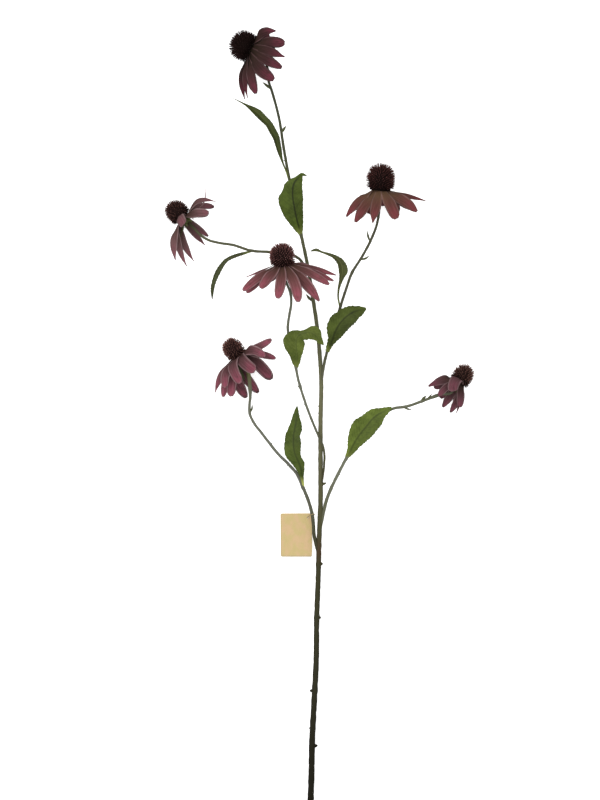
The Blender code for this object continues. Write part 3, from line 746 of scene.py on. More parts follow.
@dataclass(frozen=True)
class Stem:
    """One stem as a tube of bark along its spots, with ridges, swellings and buds."""

    name: str
    route: tuple[Spot, ...]
    finish: StemFinish
    seed: int
    radii: tuple[float, ...] = (1.75, 1.5)
    host: str = "main_stem"
    grip: float = 34.0
    sides: int = 18
    nubs: tuple[Nub, ...] = ()
    knots: tuple[tuple[float, ...], ...] = ()
    spacing: float = 1.4
    knot_length: float = 2.6
    ridges: int = 5
    ridge_depth: float = 0.035
    wave_depth: float = 0.03
    grain_depth: float = 0.035
    bud_rows: int = 9
    bud_sides: int = 10

    def line(self, head: Head) -> np.ndarray:
        """Lead the stem along its spots and straight into its head's calyx.

        Args:
            head: The head at its upper end.

        Returns:
            Rows of x, y, z and radius.
        """
        base, _, _, axis = head.axes()
        spots = list(LAYOUT.place(self.route))
        spots += [base - axis * (head.calyx_depth + head.gap + head.lead), base - axis * head.calyx_depth]
        spots = np.array(spots)
        places = smooth_line(spots, int(travelled(spots)[-1] / self.spacing))
        share = np.linspace(0.0, 1.0, len(places))
        return np.column_stack([places, np.interp(share, np.linspace(0.0, 1.0, len(self.radii)), self.radii)])

    def rooted(self, line: np.ndarray, host_line: np.ndarray) -> np.ndarray:
        """Lead the lower end into its host: a place moves to its middle by ease(1 - distance / grip).

        Args:
            line: The stem's line.
            host_line: The host's line.

        Returns:
            The stem's line as it is shown.
        """
        away = np.linalg.norm(line[:, None, :3] - host_line[None, :, :3], axis=2)
        nearest = host_line[away.argmin(axis=1), :3]
        weight = ease(1.0 - travelled(line) / self.grip)[:, None]
        moved = line.copy()
        moved[:, :3] += (nearest - line[:, :3]) * weight
        return moved

    def bark(self, skin: Skin, line: np.ndarray) -> None:
        """Add the tube: its radius is the stem's, times 1 plus ridges round it, waves, grain and swellings.

        A ridge is sin(ridges times the angle) with a slow twist, and a swelling is exp(-(d / length)^2), with
        d the distance along the stem from its knot.

        Args:
            skin: The mesh to add it to.
            line: The stem's line as it is shown.
        """
        _, side, over = axes_along(line)
        distance = travelled(line)
        turn, reach = np.meshgrid(even_turns(self.sides) - math.pi / 2, distance)
        ridges = self.ridge_depth * np.sin(self.ridges * turn + 0.02 * reach + self.seed)
        ridges = ridges + self.wave_depth * waves(self.seed, reach, reach=0.5)
        grain = self.grain_depth * waves(self.seed + 7, 3 * turn, reach, count=8, reach=0.9)
        swelling = np.zeros_like(distance)
        for row, amount, *length in self.knots:
            span = length[0] if length else self.knot_length
            swelling += amount * np.exp(-(((distance - distance[self.nearest(line, row)]) / span) ** 2))
        radius = line[:, 3:4] * (1.0 + ridges + grain + swelling[:, None])
        grid = (
            line[:, None, :3]
            + radius[..., None] * np.cos(turn)[..., None] * side[:, None]
            + radius[..., None] * np.sin(turn)[..., None] * over[:, None]
        )
        share = np.broadcast_to((distance / distance[-1])[:, None], turn.shape)
        girth = np.linspace(0.0, math.tau, self.sides + 1)[None] * float(line[:, 3].mean())
        skin.add_grid(grid, girth, distance[:, None], caps=True, along=share, tint=self.seed * 0.1)

    def nearest(self, line: np.ndarray, row: float) -> int:
        """Return the number of the line's place that stands at a row of the layout."""
        spots = LAYOUT.place([(LAYOUT.columns / 2, row, height) for height in line[:, 2]])
        return int(np.argmin(np.abs(line[:, 1] - spots[:, 1])))

    def bud(self, skin: Skin, line: np.ndarray, nub: Nub) -> None:
        """Add one bud: a tube that narrows as (1 - t^2)^0.5 and leans along the stem as it leaves it.

        Args:
            skin: The mesh to add it to.
            line: The stem's line as it is shown.
            nub: The bud.
        """
        here = self.nearest(line, nub.row)
        run, side, over = (axis[here] for axis in axes_along(line))
        ray = math.radians(nub.turn)
        out = -side * math.cos(ray) + over * math.sin(ray)
        t = np.linspace(0.0, 1.0, self.bud_rows)
        radius = line[here, 3]
        reach = radius * 0.4 + t * (nub.length + radius * 0.6)
        middle = line[here, :3] + reach[:, None] * out + (nub.lean * nub.length * t**2)[:, None] * run
        width = 0.5 * nub.width * np.maximum(1.0 - t**2, 0.02) ** 0.5
        grid = rings(middle, width, run, np.cross(out, run), self.bud_sides)
        girth = np.linspace(0.0, 3.0, self.bud_sides + 1)[None]
        skin.add_grid(grid, girth, t[:, None] * nub.length, caps=True, along=here / len(line),
                      tint=self.seed * 0.1)

    def build(self, head: Head, host_line: np.ndarray | None) -> np.ndarray:
        """Make and dress the stem.

        Args:
            head: The head at its upper end.
            host_line: The line of the stem that it grows from, or nothing.

        Returns:
            The stem's own line.
        """
        line = self.line(head)
        shown = line if host_line is None else self.rooted(line, host_line)
        skin = Skin()
        self.bark(skin, shown)
        for nub in self.nubs:
            self.bud(skin, shown, nub)
        put_on(skin.finish(f"{self.name}_bark"), Slot.STEM, self.finish.make(self.name), self.name)
        return line


@dataclass(frozen=True)
class Petal:
    """One petal: the spot of its tip, its width, and how it is pressed and turned.

    facing is how far it turns its face to the sky as it lies pressed, as a share, and twist turns it further
    about its own midline, in degrees. cup bends its edges back, in radians. notch is the depth of its tip's
    teeth and blunt is its width at the tip, both as shares. rise is how steeply it leaves the hub towards the
    crown, in degrees, and sway is how far its middle lies off the plain arch, in columns and rows.
    """

    tip: Spot
    width: float = 0.0
    twist: float = 0.0
    facing: float = 0.8
    cup: float = 0.45
    blunt: float = 0.75
    notch: float = 0.008
    rise: float = 0.0
    sway: tuple[float, float] = (0.0, 0.0)
    # tint: the petal's brightness; raised on petals that lie in the shade of others, it paints light on them.
    tint: float = 0.5


@dataclass(frozen=True)
class Press:
    """How the mould presses every petal, in millimetres and in shares of its way or of its half width.

    corner is how far the corners of the tip are drawn back, and corner_reach how far round they are. widest
    is where the root has spread to the full width, and narrowing is where the tip starts to narrow. handle is
    the length of the arch's handles, and rise_handle what a degree of rise adds to the first one.
    """

    corner: float = 0.19
    corner_reach: float = 0.97
    groove_width: float = 0.13
    groove_depth: float = 0.42
    ruffle: float = 0.25
    widest: float = 0.38
    narrowing: float = 0.5
    handle: float = 0.38
    rise_handle: float = 0.01
    uneven_tint: float = 0.2


@dataclass(frozen=True)
class ConeShape:
    """How a cone's spikes stand.

    rise is how far the upper ones bend to the axis, scatter how unevenly they stand, and fullness the cone's
    size as a share of its head's sizes. sunk is the share of a spike that lies inside the outline, and lowest
    the share of the largest radius where the first ones stand. A spike has the widths at the stages of its
    way, all in shares, and its foot is as light as foot_light along it, so the foot takes the painted shade
    of the hollows between the spikes.
    """

    count: int
    length: float
    radius: float
    rise: float
    scatter: float
    finish: ConeFinish
    fullness: float
    sides: int = 5
    sunk: float = 0.85
    lowest: float = 0.86
    stages: tuple[float, ...] = (0.0, 0.4, 0.78, 1.0)
    widths: tuple[float, ...] = (1.0, 0.9, 0.6, 0.16)
    foot_light: float = 0.12

    def faces(self) -> tuple[np.ndarray, np.ndarray]:
        """Return one spike's side faces and end faces, as rows of its corners' numbers."""
        index = np.arange(len(self.stages) * self.sides).reshape(-1, self.sides)
        after = np.roll(index, -1, axis=1)
        sides = np.stack([index[:-1], after[:-1], after[1:], index[1:]], axis=-1).reshape(-1, 4)
        foot = np.full(self.sides, index.size)
        ends = np.array([[after[0], index[0], foot], [index[-1], after[-1], foot + 1]])
        return sides, ends.transpose(0, 2, 1).reshape(-1, 3)


@dataclass(frozen=True)
class Head:
    """One flower head: cone, two rings of petals and calyx."""

    name: str
    stem: Stem
    base: Spot
    crown: Spot
    cone_radius: float
    cone_height: float
    hub_radius: float
    petal_width: float
    upper: tuple[Petal, ...]
    lower: tuple[Petal, ...]
    cone: ConeShape
    finish: PetalFinish
    seed: int
    press: Press = Press()
    gap: float = 0.3
    wall: float = 0.8
    lead: float = 6.0
    calyx_depth: float = 9.0
    stalk_radius: float = 2.4
    root_width: float = 6.4
    fullness: float = 1.16
    bend: float = 8.0
    shingle: float = 7.0
    closest_roots: float = 27.0
    root_passes: int = 60
    petal_rows: int = 40
    petal_columns: int = 19
    profile_rows: int = 60
    hub_sides: int = 48
    cone_sides: int = 40
    calyx_sides: int = 32
    cloth: float = 0.5
    sepals: tuple[tuple[float, ...], ...] = ((9, 0.0, 5.2), (9, 20.0, 4.2))
    cone_profile: tuple[tuple[float, float], ...] = (
        (0.0, 0.0), (0.80, 0.0), (0.93, 0.07), (1.0, 0.30), (0.96, 0.56), (0.76, 0.80), (0.42, 0.95),
        (0.0, 1.0),
    )

    def axes(self) -> tuple[np.ndarray, np.ndarray, np.ndarray, np.ndarray]:
        """Return the head's place and its side, front and axis directions, the front leaning to the sky."""
        base, crown = LAYOUT.place([self.base, self.crown])
        axis = unit(crown - base)
        front = unit(UP - axis * axis[2])
        return base, np.cross(front, axis), front, axis

    def to_frame(self, places: np.ndarray) -> np.ndarray:
        """Put places of the head's own axes into the frame."""
        base, side, front, axis = self.axes()
        return base + places @ np.array([side, front, axis])

    def ring_height(self, ring: Ring) -> float:
        """Return the height of a ring's middle along the axis."""
        upper = -self.gap - self.wall / 2
        return upper if ring is Ring.UPPER else upper - self.wall - self.gap

    def roots(self, petals: tuple[Petal, ...]) -> list[tuple[Petal, float, float, float, float]]:
        """Find where a ring's petals start and end.

        Args:
            petals: The ring's petals.

        Returns:
            For each petal in order round the axis: itself, its root's angle, its tip's angle and radius and
            its tip's height, the angles in degrees.
        """
        base, side, front, axis = self.axes()
        found = []
        for petal in petals:
            offset = LAYOUT.place([petal.tip])[0] - base
            right, ahead = offset @ side, offset @ front
            turn = math.degrees(math.atan2(ahead, right)) % 360.0
            found.append((turn, petal, math.hypot(right, ahead), float(offset @ axis)))
        found.sort(key=lambda row: row[0])
        turns = np.array([row[0] for row in found])
        for _ in range(self.root_passes):
            ahead_by = (np.roll(turns, -1) - turns) % 360.0
            push = np.maximum(self.closest_roots - ahead_by, 0.0) / 2.0
            turns = turns - push + np.roll(push, 1)
        return [
            (petal, root, root + (turn - root + 180.0) % 360.0 - 180.0, radius, height)
            for root, (turn, petal, radius, height) in zip(turns, found)
        ]

    def petal_sheet(self, skin: Skin, ring: Ring, found: tuple, seed: int) -> None:
        """Add one petal.

        Its midline is a cubic arch in (angle, radius, height) from the hub to the tip. Across it, a place
        lies at half the width times sin(cup s) / cup sideways and at half the width times (cos(cup s) - 1) /
        cup up, with two pressed grooves exp(-(d / width)^2) deep, d being the distance from the groove, and
        waves that grow with |s|^1.5. The sides turn about the midline by the twist, and the last rows are
        drawn back along a circle at the corners and by the teeth of the tip.

        Args:
            skin: The mesh to add it to.
            ring: The ring it belongs to.
            found: One row of roots().
            seed: Fixes its small irregularities.
        """
        petal, root_turn, tip_turn, *_ = found
        press = self.press
        random = np.random.default_rng(seed)
        t = 1.0 - np.linspace(1.0, 0.0, self.petal_rows) ** 1.25
        s = np.linspace(-1.0, 1.0, self.petal_columns)
        corner = press.corner * (1.0 - np.sqrt(1.0 - press.corner_reach * s**2))
        teeth = petal.notch * (0.5 + 0.5 * np.cos(3.0 * math.pi * (s - 0.08 * random.uniform(-1, 1))))
        drawn = t[:, None] * (1.0 - (corner + teeth)[None] * t[:, None] ** 5)
        middle, run = self.midline(ring, found, drawn)
        turn = np.radians(root_turn + (tip_turn - root_turn) * ease(drawn))
        level = np.stack([-np.sin(turn), np.cos(turn), np.zeros_like(turn)], axis=-1)
        level = unit(level - run * np.sum(level * run, axis=-1, keepdims=True))
        normal = np.cross(run, level)
        sky = np.array(self.axes()[1:]) @ UP
        inner = (int(0.6 * self.petal_rows), self.petal_columns // 2)
        to_sky = math.atan(-(level[inner] @ sky) / (normal[inner] @ sky))
        turned = petal.facing * to_sky + math.radians(petal.twist)
        twist = (turned * ease(t, 0.0, 0.5) + math.radians(self.shingle))[:, None, None]
        across = level * np.cos(twist) + normal * np.sin(twist)
        facing = normal * np.cos(twist) - level * np.sin(twist)
        width = (petal.width or self.petal_width) * self.fullness
        root_share = 0.9 if petal.rise else self.root_width / width
        swell = root_share + (1.0 - root_share) * np.sin(0.5 * math.pi * np.clip(t / press.widest, 0.0, 1.0))
        ending = np.clip((t - press.narrowing) / (1.0 - press.narrowing), 0.0, 1.0)
        taper = 1.0 - (1.0 - petal.blunt) * ending**1.8
        half = 0.5 * width * (swell * taper)[:, None]
        bend = petal.cup * ease(t, 0.0, 0.25)[:, None] + 1e-3
        sideways = half * np.sin(bend * s) / bend
        groove = np.exp(-(((np.abs(s) - GROOVE_PLACE) / press.groove_width) ** 2))[None]
        groove = press.groove_depth * groove * ease(t, 0.06, 0.3)[:, None]
        ruffle = press.ruffle * waves(seed, *np.broadcast_arrays(2.2 * s[None], 7.0 * t[:, None]))
        lift = half * (np.cos(bend * s) - 1.0) / bend - groove + ruffle * np.abs(s)[None] ** 1.5
        face = middle + sideways[..., None] * across + lift[..., None] * facing
        central = face[:, self.petal_columns // 2]
        skin.add_sheet(self.to_frame(face), unit(facing) @ np.array(self.axes()[1:]), self.cloth,
                       travelled(central), tint=petal.tint + press.uneven_tint * random.uniform(-1, 1))

    def midline(self, ring: Ring, found: tuple, t: np.ndarray) -> tuple[np.ndarray, np.ndarray]:
        """Return places on a petal's arched midline and its direction there, in the head's own axes.

        The arch is the cubic from root to tip that leaves flatter and arrives steeper than the straight way
        between them by the head's bend, with handles that are a share of that way. A petal that rises leaves
        upward instead, on a longer handle. Its sway is added times 4 t (1 - t).

        Args:
            ring: The ring it belongs to.
            found: One row of roots().
            t: Shares of its way.

        Returns:
            The places and the unit directions.
        """
        petal, root_turn, tip_turn, tip_radius, tip_height = found
        root = np.array([self.hub_radius, self.ring_height(ring)])
        end = np.array([tip_radius, tip_height])
        reach = float(np.linalg.norm(end - root))
        droop = math.degrees(math.atan2(root[1] - end[1], end[0] - root[0]))
        leave = -math.radians(petal.rise) if petal.rise else math.radians(max(droop - self.bend, -4.0))
        arrive = math.radians(droop + self.bend + 0.5 * petal.rise)
        handle = self.press.handle + self.press.rise_handle * petal.rise
        first = root + handle * reach * np.array([math.cos(leave), -math.sin(leave)])
        second = end - self.press.handle * reach * np.array([math.cos(arrive), -math.sin(arrive)])
        aside = np.array([petal.sway[0], -petal.sway[1], 0.0]) * LAYOUT.mm_per_column
        aside = np.array(self.axes()[1:]) @ aside

        def arch(x: np.ndarray) -> np.ndarray:
            """Return the arch's places at shares of its way."""
            weights = ((1 - x) ** 3, 3 * (1 - x) ** 2 * x, 3 * (1 - x) * x**2, x**3)
            flat = sum(w[..., None] * p for w, p in zip(weights, (root, first, second, end)))
            turn = np.radians(root_turn + (tip_turn - root_turn) * ease(x))
            radius, height = flat[..., 0], flat[..., 1]
            plain = np.stack([radius * np.cos(turn), radius * np.sin(turn), height], axis=-1)
            return plain + (4 * x * (1 - x))[..., None] * aside

        step = 0.01
        before = np.minimum(t, 1.0 - step)
        return arch(t), unit(arch(before + step) - arch(before))

    def hub(self, skin: Skin, ring: Ring) -> None:
        """Add a ring's hub: a flat washer round the stalk."""
        height = self.ring_height(ring)
        inner, outer, half = self.stalk_radius + self.gap, self.hub_radius + 0.6, 0.4 * self.cloth
        corners = ((inner, half), (outer, half), (outer, -half), (inner, -half))
        turns = -even_turns(self.hub_sides)
        grid = np.array([[[r * math.cos(a), r * math.sin(a), height + h] for a in turns] for r, h in corners])
        girth = np.linspace(0, 3, self.hub_sides + 1)[None]
        skin.add_grid(self.to_frame(grid), girth, np.zeros((5, 1)), looped=True, tint=0.5, face=1.0)

    def petals(self, ring: Ring, petals: tuple[Petal, ...]) -> None:
        """Make and dress one ring of petals.

        Args:
            ring: Which of the two rings it is.
            petals: Its petals.
        """
        skin = Skin()
        self.hub(skin, ring)
        first_seed = self.seed * 100 + (50 if ring is Ring.LOWER else 0)
        for number, found in enumerate(self.roots(petals)):
            self.petal_sheet(skin, ring, found, seed=first_seed + number)
        piece = skin.finish(f"{self.name}_{ring.value}_ring")
        put_on(piece, Slot.PETAL, self.finish.make(piece.name), f"{self.name}_{ring.value}_petals")

    def add_turned(self, skin: Skin, profile: np.ndarray, sides: int, span: float, **values: object) -> None:
        """Add a closed surface turned about the head's axis.

        Args:
            skin: The mesh to add it to.
            profile: Rows of (radius, height).
            sides: How many places go round it.
            span: How far the pattern runs round it and along it.
            **values: Named values, as for a grid.
        """
        turns = even_turns(sides)
        radius, height = profile.T[..., None]
        places = np.broadcast_arrays(radius * np.cos(turns), radius * np.sin(turns), height)
        grid = self.to_frame(np.stack(places, axis=-1))
        girth, run = (np.linspace(0, span, count) for count in (sides + 1, len(profile)))
        skin.add_grid(grid, girth[None], run[:, None], caps=True, **values)

    def cone_lines(self) -> tuple[np.ndarray, np.ndarray, np.ndarray]:
        """Return the cone's outline, its outward normals and the line of the spikes' feet.

        Each has rows of (radius, height). A foot lies inside the outline by the sunk share of a spike.
        """
        outer = np.array(self.cone_profile) * (self.cone_radius, self.cone_height) * self.cone.fullness
        outline = smooth_line(np.column_stack([outer, np.zeros(len(outer))]), self.profile_rows)[:, :2]
        slope = unit(np.gradient(outline, axis=0))
        normal = np.column_stack([slope[:, 1], -slope[:, 0]])
        feet = outline - normal * self.cone.length * self.cone.sunk
        feet[:, 0] = np.maximum(feet[:, 0], POLE_RADIUS)
        return outline, normal, feet

    def add_cone_body(self, skin: Skin, feet: np.ndarray) -> None:
        """Add the body under the spikes: the line of their feet, led down to the upper ring of petals.

        Below its widest place its radius is 0.9 + 0.1 sin(pi f / 2) of the largest, with f the share of the
        way up to it, and its height rises evenly.

        Args:
            skin: The mesh to add it to.
            feet: The line of the spikes' feet.
        """
        widest = int(np.argmax(feet[:, 0]))
        body = feet.copy()
        share = np.linspace(0.0, 1.0, widest)
        body[:widest, 0] = feet[widest, 0] * (0.9 + 0.1 * np.sin(0.5 * math.pi * share))
        body[:widest, 1] = feet[widest, 1] * share - self.gap * (1.0 - share)
        # along 0 and a low tint give the body the painted shade of the hollows; its edge value darkens its
        # lower end.
        self.add_turned(skin, body, self.cone_sides, 30.0, along=0.0,
                        edge=np.linspace(0.0, 1.0, len(body))[:, None], tint=0.3)

    def add_spikes(self, skin: Skin, outline: np.ndarray, normal: np.ndarray, feet: np.ndarray) -> None:
        """Add the spikes, on a golden-angle spiral over the cone.

        The n-th spike stands where (n + 1/2) / count of the outline's area lies below it. It leaves along
        the normal, the upper ones bent towards the axis by the square of the way, and narrows to its tip.
        The lowest ones stand out level, over the petals.

        Args:
            skin: The mesh to add them to.
            outline: Rows of (radius, height) through their tips.
            normal: The outline's outward normals.
            feet: The line of their feet.
        """
        shape = self.cone
        random = np.random.default_rng(self.seed + 11)
        lowest = int(np.argmax(outline[:, 0] > shape.lowest * self.cone_radius * shape.fullness))
        rim = np.arange(lowest, len(outline))
        steps = np.linalg.norm(np.gradient(outline[rim], axis=0), axis=1)
        area = np.cumsum(np.maximum(outline[rim, 0], 0.4) * steps)
        number = np.arange(shape.count)
        spot = np.interp((number + 0.5) / shape.count * area[-1], area, rim.astype(float))
        foot, out, outer = (
            np.column_stack([np.interp(spot, np.arange(len(line)), column) for column in line.T])
            for line in (feet, normal, outline)
        )
        level, hanging = outer[:, 1], out[:, 1] < 0.0
        foot[:, 1] = np.where(hanging, level + 0.3, foot[:, 1])
        out[:, 0] = np.where(hanging, np.maximum(out[:, 0], 0.85), out[:, 0])
        out[:, 1] = np.maximum(out[:, 1], -0.3)
        turn = number * GOLDEN_TURN + random.uniform(-1, 1, shape.count) * shape.scatter
        radial = np.column_stack([np.cos(turn), np.sin(turn), np.zeros(shape.count)])
        start = radial * foot[:, :1] + foot[:, 1:] * UP
        lean = random.normal(0.0, shape.scatter, (shape.count, 3))
        away = unit(radial * out[:, :1] + out[:, 1:] * UP + lean)
        length = shape.length * random.uniform(0.88, 1.1, shape.count)
        bent = 0.35 * shape.rise * ease(level, 0.1 * self.cone_height, 0.5 * self.cone_height)
        stages = np.array(shape.stages)
        way = stages[:, None] * away[:, None] + bent[:, None, None] * stages[:, None] ** 2 * UP
        spine = start[:, None] + way * length[:, None, None]
        first = unit(np.cross(away, radial + 0.3 * UP + 0.1))
        second = np.cross(away, first)
        turns = even_turns(shape.sides)[:, None]
        ring = np.cos(turns) * first[:, None] + np.sin(turns) * second[:, None]
        grown = shape.radius * random.uniform(0.85, 1.15, shape.count)[:, None, None, None]
        grid = spine[:, :, None] + grown * np.array(shape.widths)[:, None, None] * ring[:, None]
        ends = np.stack([spine[:, 0], spine[:, -1]], axis=1)
        places = np.concatenate([grid.reshape(shape.count, -1, 3), ends], axis=1)
        # The feet lie far down the finish's ramp, in the painted shade of the hollows.
        light = shape.foot_light + (1.0 - shape.foot_light) * stages
        along = np.append(np.repeat(light, shape.sides), (shape.foot_light, 1.0))
        tint = np.clip(random.normal(0.5, 0.25, shape.count), 0.0, 1.0)[:, None]
        marks = np.column_stack([along, np.arange(len(along)) % shape.sides])
        # The height share paints the lower spikes darker, as shade under the cone.
        height = level / (self.cone_height * shape.fullness)
        skin.add_copies(self.to_frame(places), shape.faces(), marks, along=along[None], tint=tint,
                        edge=height[:, None])

    def spiked_cone(self) -> None:
        """Make and dress the cone: its body and its spikes."""
        skin = Skin()
        outline, normal, feet = self.cone_lines()
        self.add_cone_body(skin, feet)
        self.add_spikes(skin, outline, normal, feet)
        piece = skin.finish(f"{self.name}_spiked_cone")
        put_on(piece, Slot.CONE, self.cone.finish.make(piece.name), f"{self.name}_cone")

    def calyx(self, finish: LeafFinish) -> None:
        """Make and dress the calyx: a turned cup with its stalk, and rows of sepals bent back.

        Args:
            finish: The calyx's green.
        """
        skin = Skin()
        top = self.ring_height(Ring.LOWER) - self.wall / 2 - self.gap
        cup = 0.84 * self.hub_radius
        stalk = self.stalk_radius
        profile = smooth_line([
            (POLE_RADIUS, -self.calyx_depth, 0), (stalk * 0.8, -self.calyx_depth, 0),
            (0.6 * cup, top - 3.5, 0), (0.93 * cup, top - 1.4, 0), (cup, top - 0.6, 0), (0.9 * cup, top, 0),
            (stalk, top, 0), (stalk, -self.gap, 0), (POLE_RADIUS, -self.gap, 0),
        ], self.profile_rows)[:, :2]
        profile[:, 0] = np.maximum(profile[:, 0], POLE_RADIUS)
        self.add_turned(skin, profile, self.calyx_sides, 24.0, along=0.3, tint=0.5, face=1.0)
        for row, (count, start, length, *fall) in enumerate(self.sepals):
            lower = min(row, 2)
            height, radius = top - 0.5 - 1.1 * lower, cup * (0.98 - 0.12 * lower)
            for number in range(count):
                turn = math.radians(start + 360.0 * number / count)
                self.sepal(skin, turn, height, radius, length, *fall)
        piece = skin.finish(f"{self.name}_sepals")
        put_on(piece, Slot.CALYX, finish.make(piece.name), f"{self.name}_calyx")

    def sepal(
        self, skin: Skin, turn: float, height: float, radius: float, length: float, fall: float = 66.0
    ) -> None:
        """Add one sepal: a pointed sheet that leaves the cup at 20 degrees and bends down by its fall.

        Its half width is 1.3 (length / 5.2)^0.6 sin(pi (0.18 + 0.8 t))^0.7, and it is cupped by s^2.

        Args:
            skin: The mesh to add it to.
            turn: Its angle round the axis, in radians.
            height: The height of its root on the axis.
            radius: The cup's radius there.
            length: Its length.
            fall: How far it bends down, in degrees.
        """
        t = np.linspace(0.0, 1.0, 16)
        s = np.linspace(-1.0, 1.0, 7)
        out = np.array([math.cos(turn), math.sin(turn), 0.0])
        level = np.array([-math.sin(turn), math.cos(turn), 0.0])
        angle = np.radians(20.0 + fall * np.minimum(t * length / 5.0, 1.0))
        step = length / (len(t) - 1)
        reach = radius - 0.8 + np.concatenate([[0.0], np.cumsum(np.cos(angle[:-1]))]) * step
        drop = height - np.concatenate([[0.0], np.cumsum(np.sin(angle[:-1]))]) * step
        half = 1.3 * (length / 5.2) ** 0.6 * np.sin(math.pi * np.clip(0.18 + 0.8 * t, 0.0, 1.0)) ** 0.7
        middle = reach[:, None] * out + drop[:, None] * UP
        normal = np.sin(angle)[:, None] * out + np.cos(angle)[:, None] * UP
        face = middle[:, None] + (half[:, None] * s)[..., None] * level
        face = face - (0.35 * half[:, None] * s**2)[..., None] * normal[:, None]
        upper = np.broadcast_to(normal[:, None], face.shape) @ np.array(self.axes()[1:])
        skin.add_sheet(self.to_frame(face), upper, 0.8 * self.cloth, travelled(middle))

    def build(self, green: LeafFinish) -> None:
        """Make and dress the whole head."""
        self.spiked_cone()
        self.petals(Ring.UPPER, self.upper)
        self.petals(Ring.LOWER, self.lower)
        self.calyx(green)


@dataclass(frozen=True)
class Leaf:
    """One leaf or bract: a sheet along its midrib, with its own width on each side.

    Each station has a midrib spot's column, row and height and the half widths there in millimetres, the
    left one first, as seen looking along it from the stem. roll turns it about its midrib in degrees, from
    its root to its tip, fold lifts both edges, and rib has the midrib's radius at its root and near its tip.
    """

    name: str
    stem: str
    stations: tuple[tuple[float, ...], ...]
    finish: LeafFinish
    seed: int
    roll: tuple[float, float] = (0.0, 0.0)
    fold: float = 0.28
    wave: float = 0.5
    serration: float = 0.6
    rib: tuple[float, float] = (1.0, 0.35)
    rows: int = 90
    columns: int = 25
    cloth: float = 0.45
    least_half: float = 0.35
    tooth_spacing: float = 4.4
    vein_depth: float = 0.16
    rib_sides: int = 8
    rib_end: float = 0.12

    def root(self, line: np.ndarray) -> np.ndarray:
        """Move the midrib's root to the skin of its stem.

        Args:
            line: The stem's line.

        Returns:
            Rows of x, y and z, one for each station.
        """
        midrib = LAYOUT.place(self.stations)
        nearest = int(np.argmin(np.linalg.norm(line[:, :2] - midrib[0, :2], axis=1)))
        place, radius = line[nearest, :3], line[nearest, 3]
        run = axes_along(line)[0][nearest]
        away = midrib[1] - place
        away = unit(away - run * (away @ run))
        midrib[0] = place + away * radius * 0.6
        return midrib

    def build(self, line: np.ndarray) -> None:
        """Make and dress the leaf.

        A place lies at s times its side's half width from the midrib, lifted by fold |s|^1.2 of the half
        width, by side veins pressed between |s| = 0 and 1, and by waves that grow with s^2; the edge is
        toothed. The midrib is a tube along the sheet.

        Args:
            line: Its stem's line.
        """
        table = np.column_stack([self.root(line), np.array(self.stations)[:, 3:]])
        midrib = smooth_line(table, self.rows)
        _, level, over = axes_along(midrib)
        distance = travelled(midrib)
        share = distance / distance[-1]
        roll = np.radians(np.interp(share, (0.0, 1.0), self.roll))[:, None]
        level, over = level * np.cos(roll) + over * np.sin(roll), over * np.cos(roll) - level * np.sin(roll)
        s = np.linspace(-1.0, 1.0, self.columns)
        left, right = np.maximum(midrib[:, 3:], self.least_half).T[..., None]
        half = np.where(s > 0, left, right)
        wide = ease(half, 1.0, 5.0)
        saw = (distance / self.tooth_spacing + 0.3 * waves(self.seed, distance, reach=0.6)) % 1.0
        saw = 2.0 * np.abs(saw - 0.5)[:, None]
        sideways = s * half - np.sign(s) * self.serration * saw * np.abs(s) ** 6 * ease(half, 1.0, 4.0)
        slant = (distance[:, None] - VEIN_SLANT * np.abs(sideways)) / VEIN_SPACING
        ridge = self.vein_depth * np.cos(math.tau * slant) * wide * np.sin(math.pi * np.abs(s))
        ripple = waves(self.seed + 3, *np.broadcast_arrays(distance[:, None] * 0.22, 1.6 * s))
        lift = self.fold * half * np.abs(s) ** 1.2 + ridge + self.wave * ripple * s**2 * wide
        face = midrib[:, None, :3] + sideways[..., None] * level[:, None] + lift[..., None] * over[:, None]
        normal = unit(np.cross(np.gradient(face, axis=0), np.gradient(face, axis=1)))
        skin = Skin()
        skin.add_sheet(face, normal, self.cloth, distance)
        radius = np.interp(share, (0.0, 0.8, 1.0), (*self.rib, self.rib_end))
        middle = midrib[:, :3] - 0.3 * radius[:, None] * over
        girth = np.linspace(-0.4, 0.4, self.rib_sides + 1)[None]
        skin.add_grid(rings(middle, radius, level, over, self.rib_sides), girth, distance[:, None], caps=True,
                      along=share[:, None], tint=0.5, face=1.0)
        piece = skin.finish(f"{self.name}_blade")
        put_on(piece, Slot.LEAF, self.finish.make(piece.name), self.name)


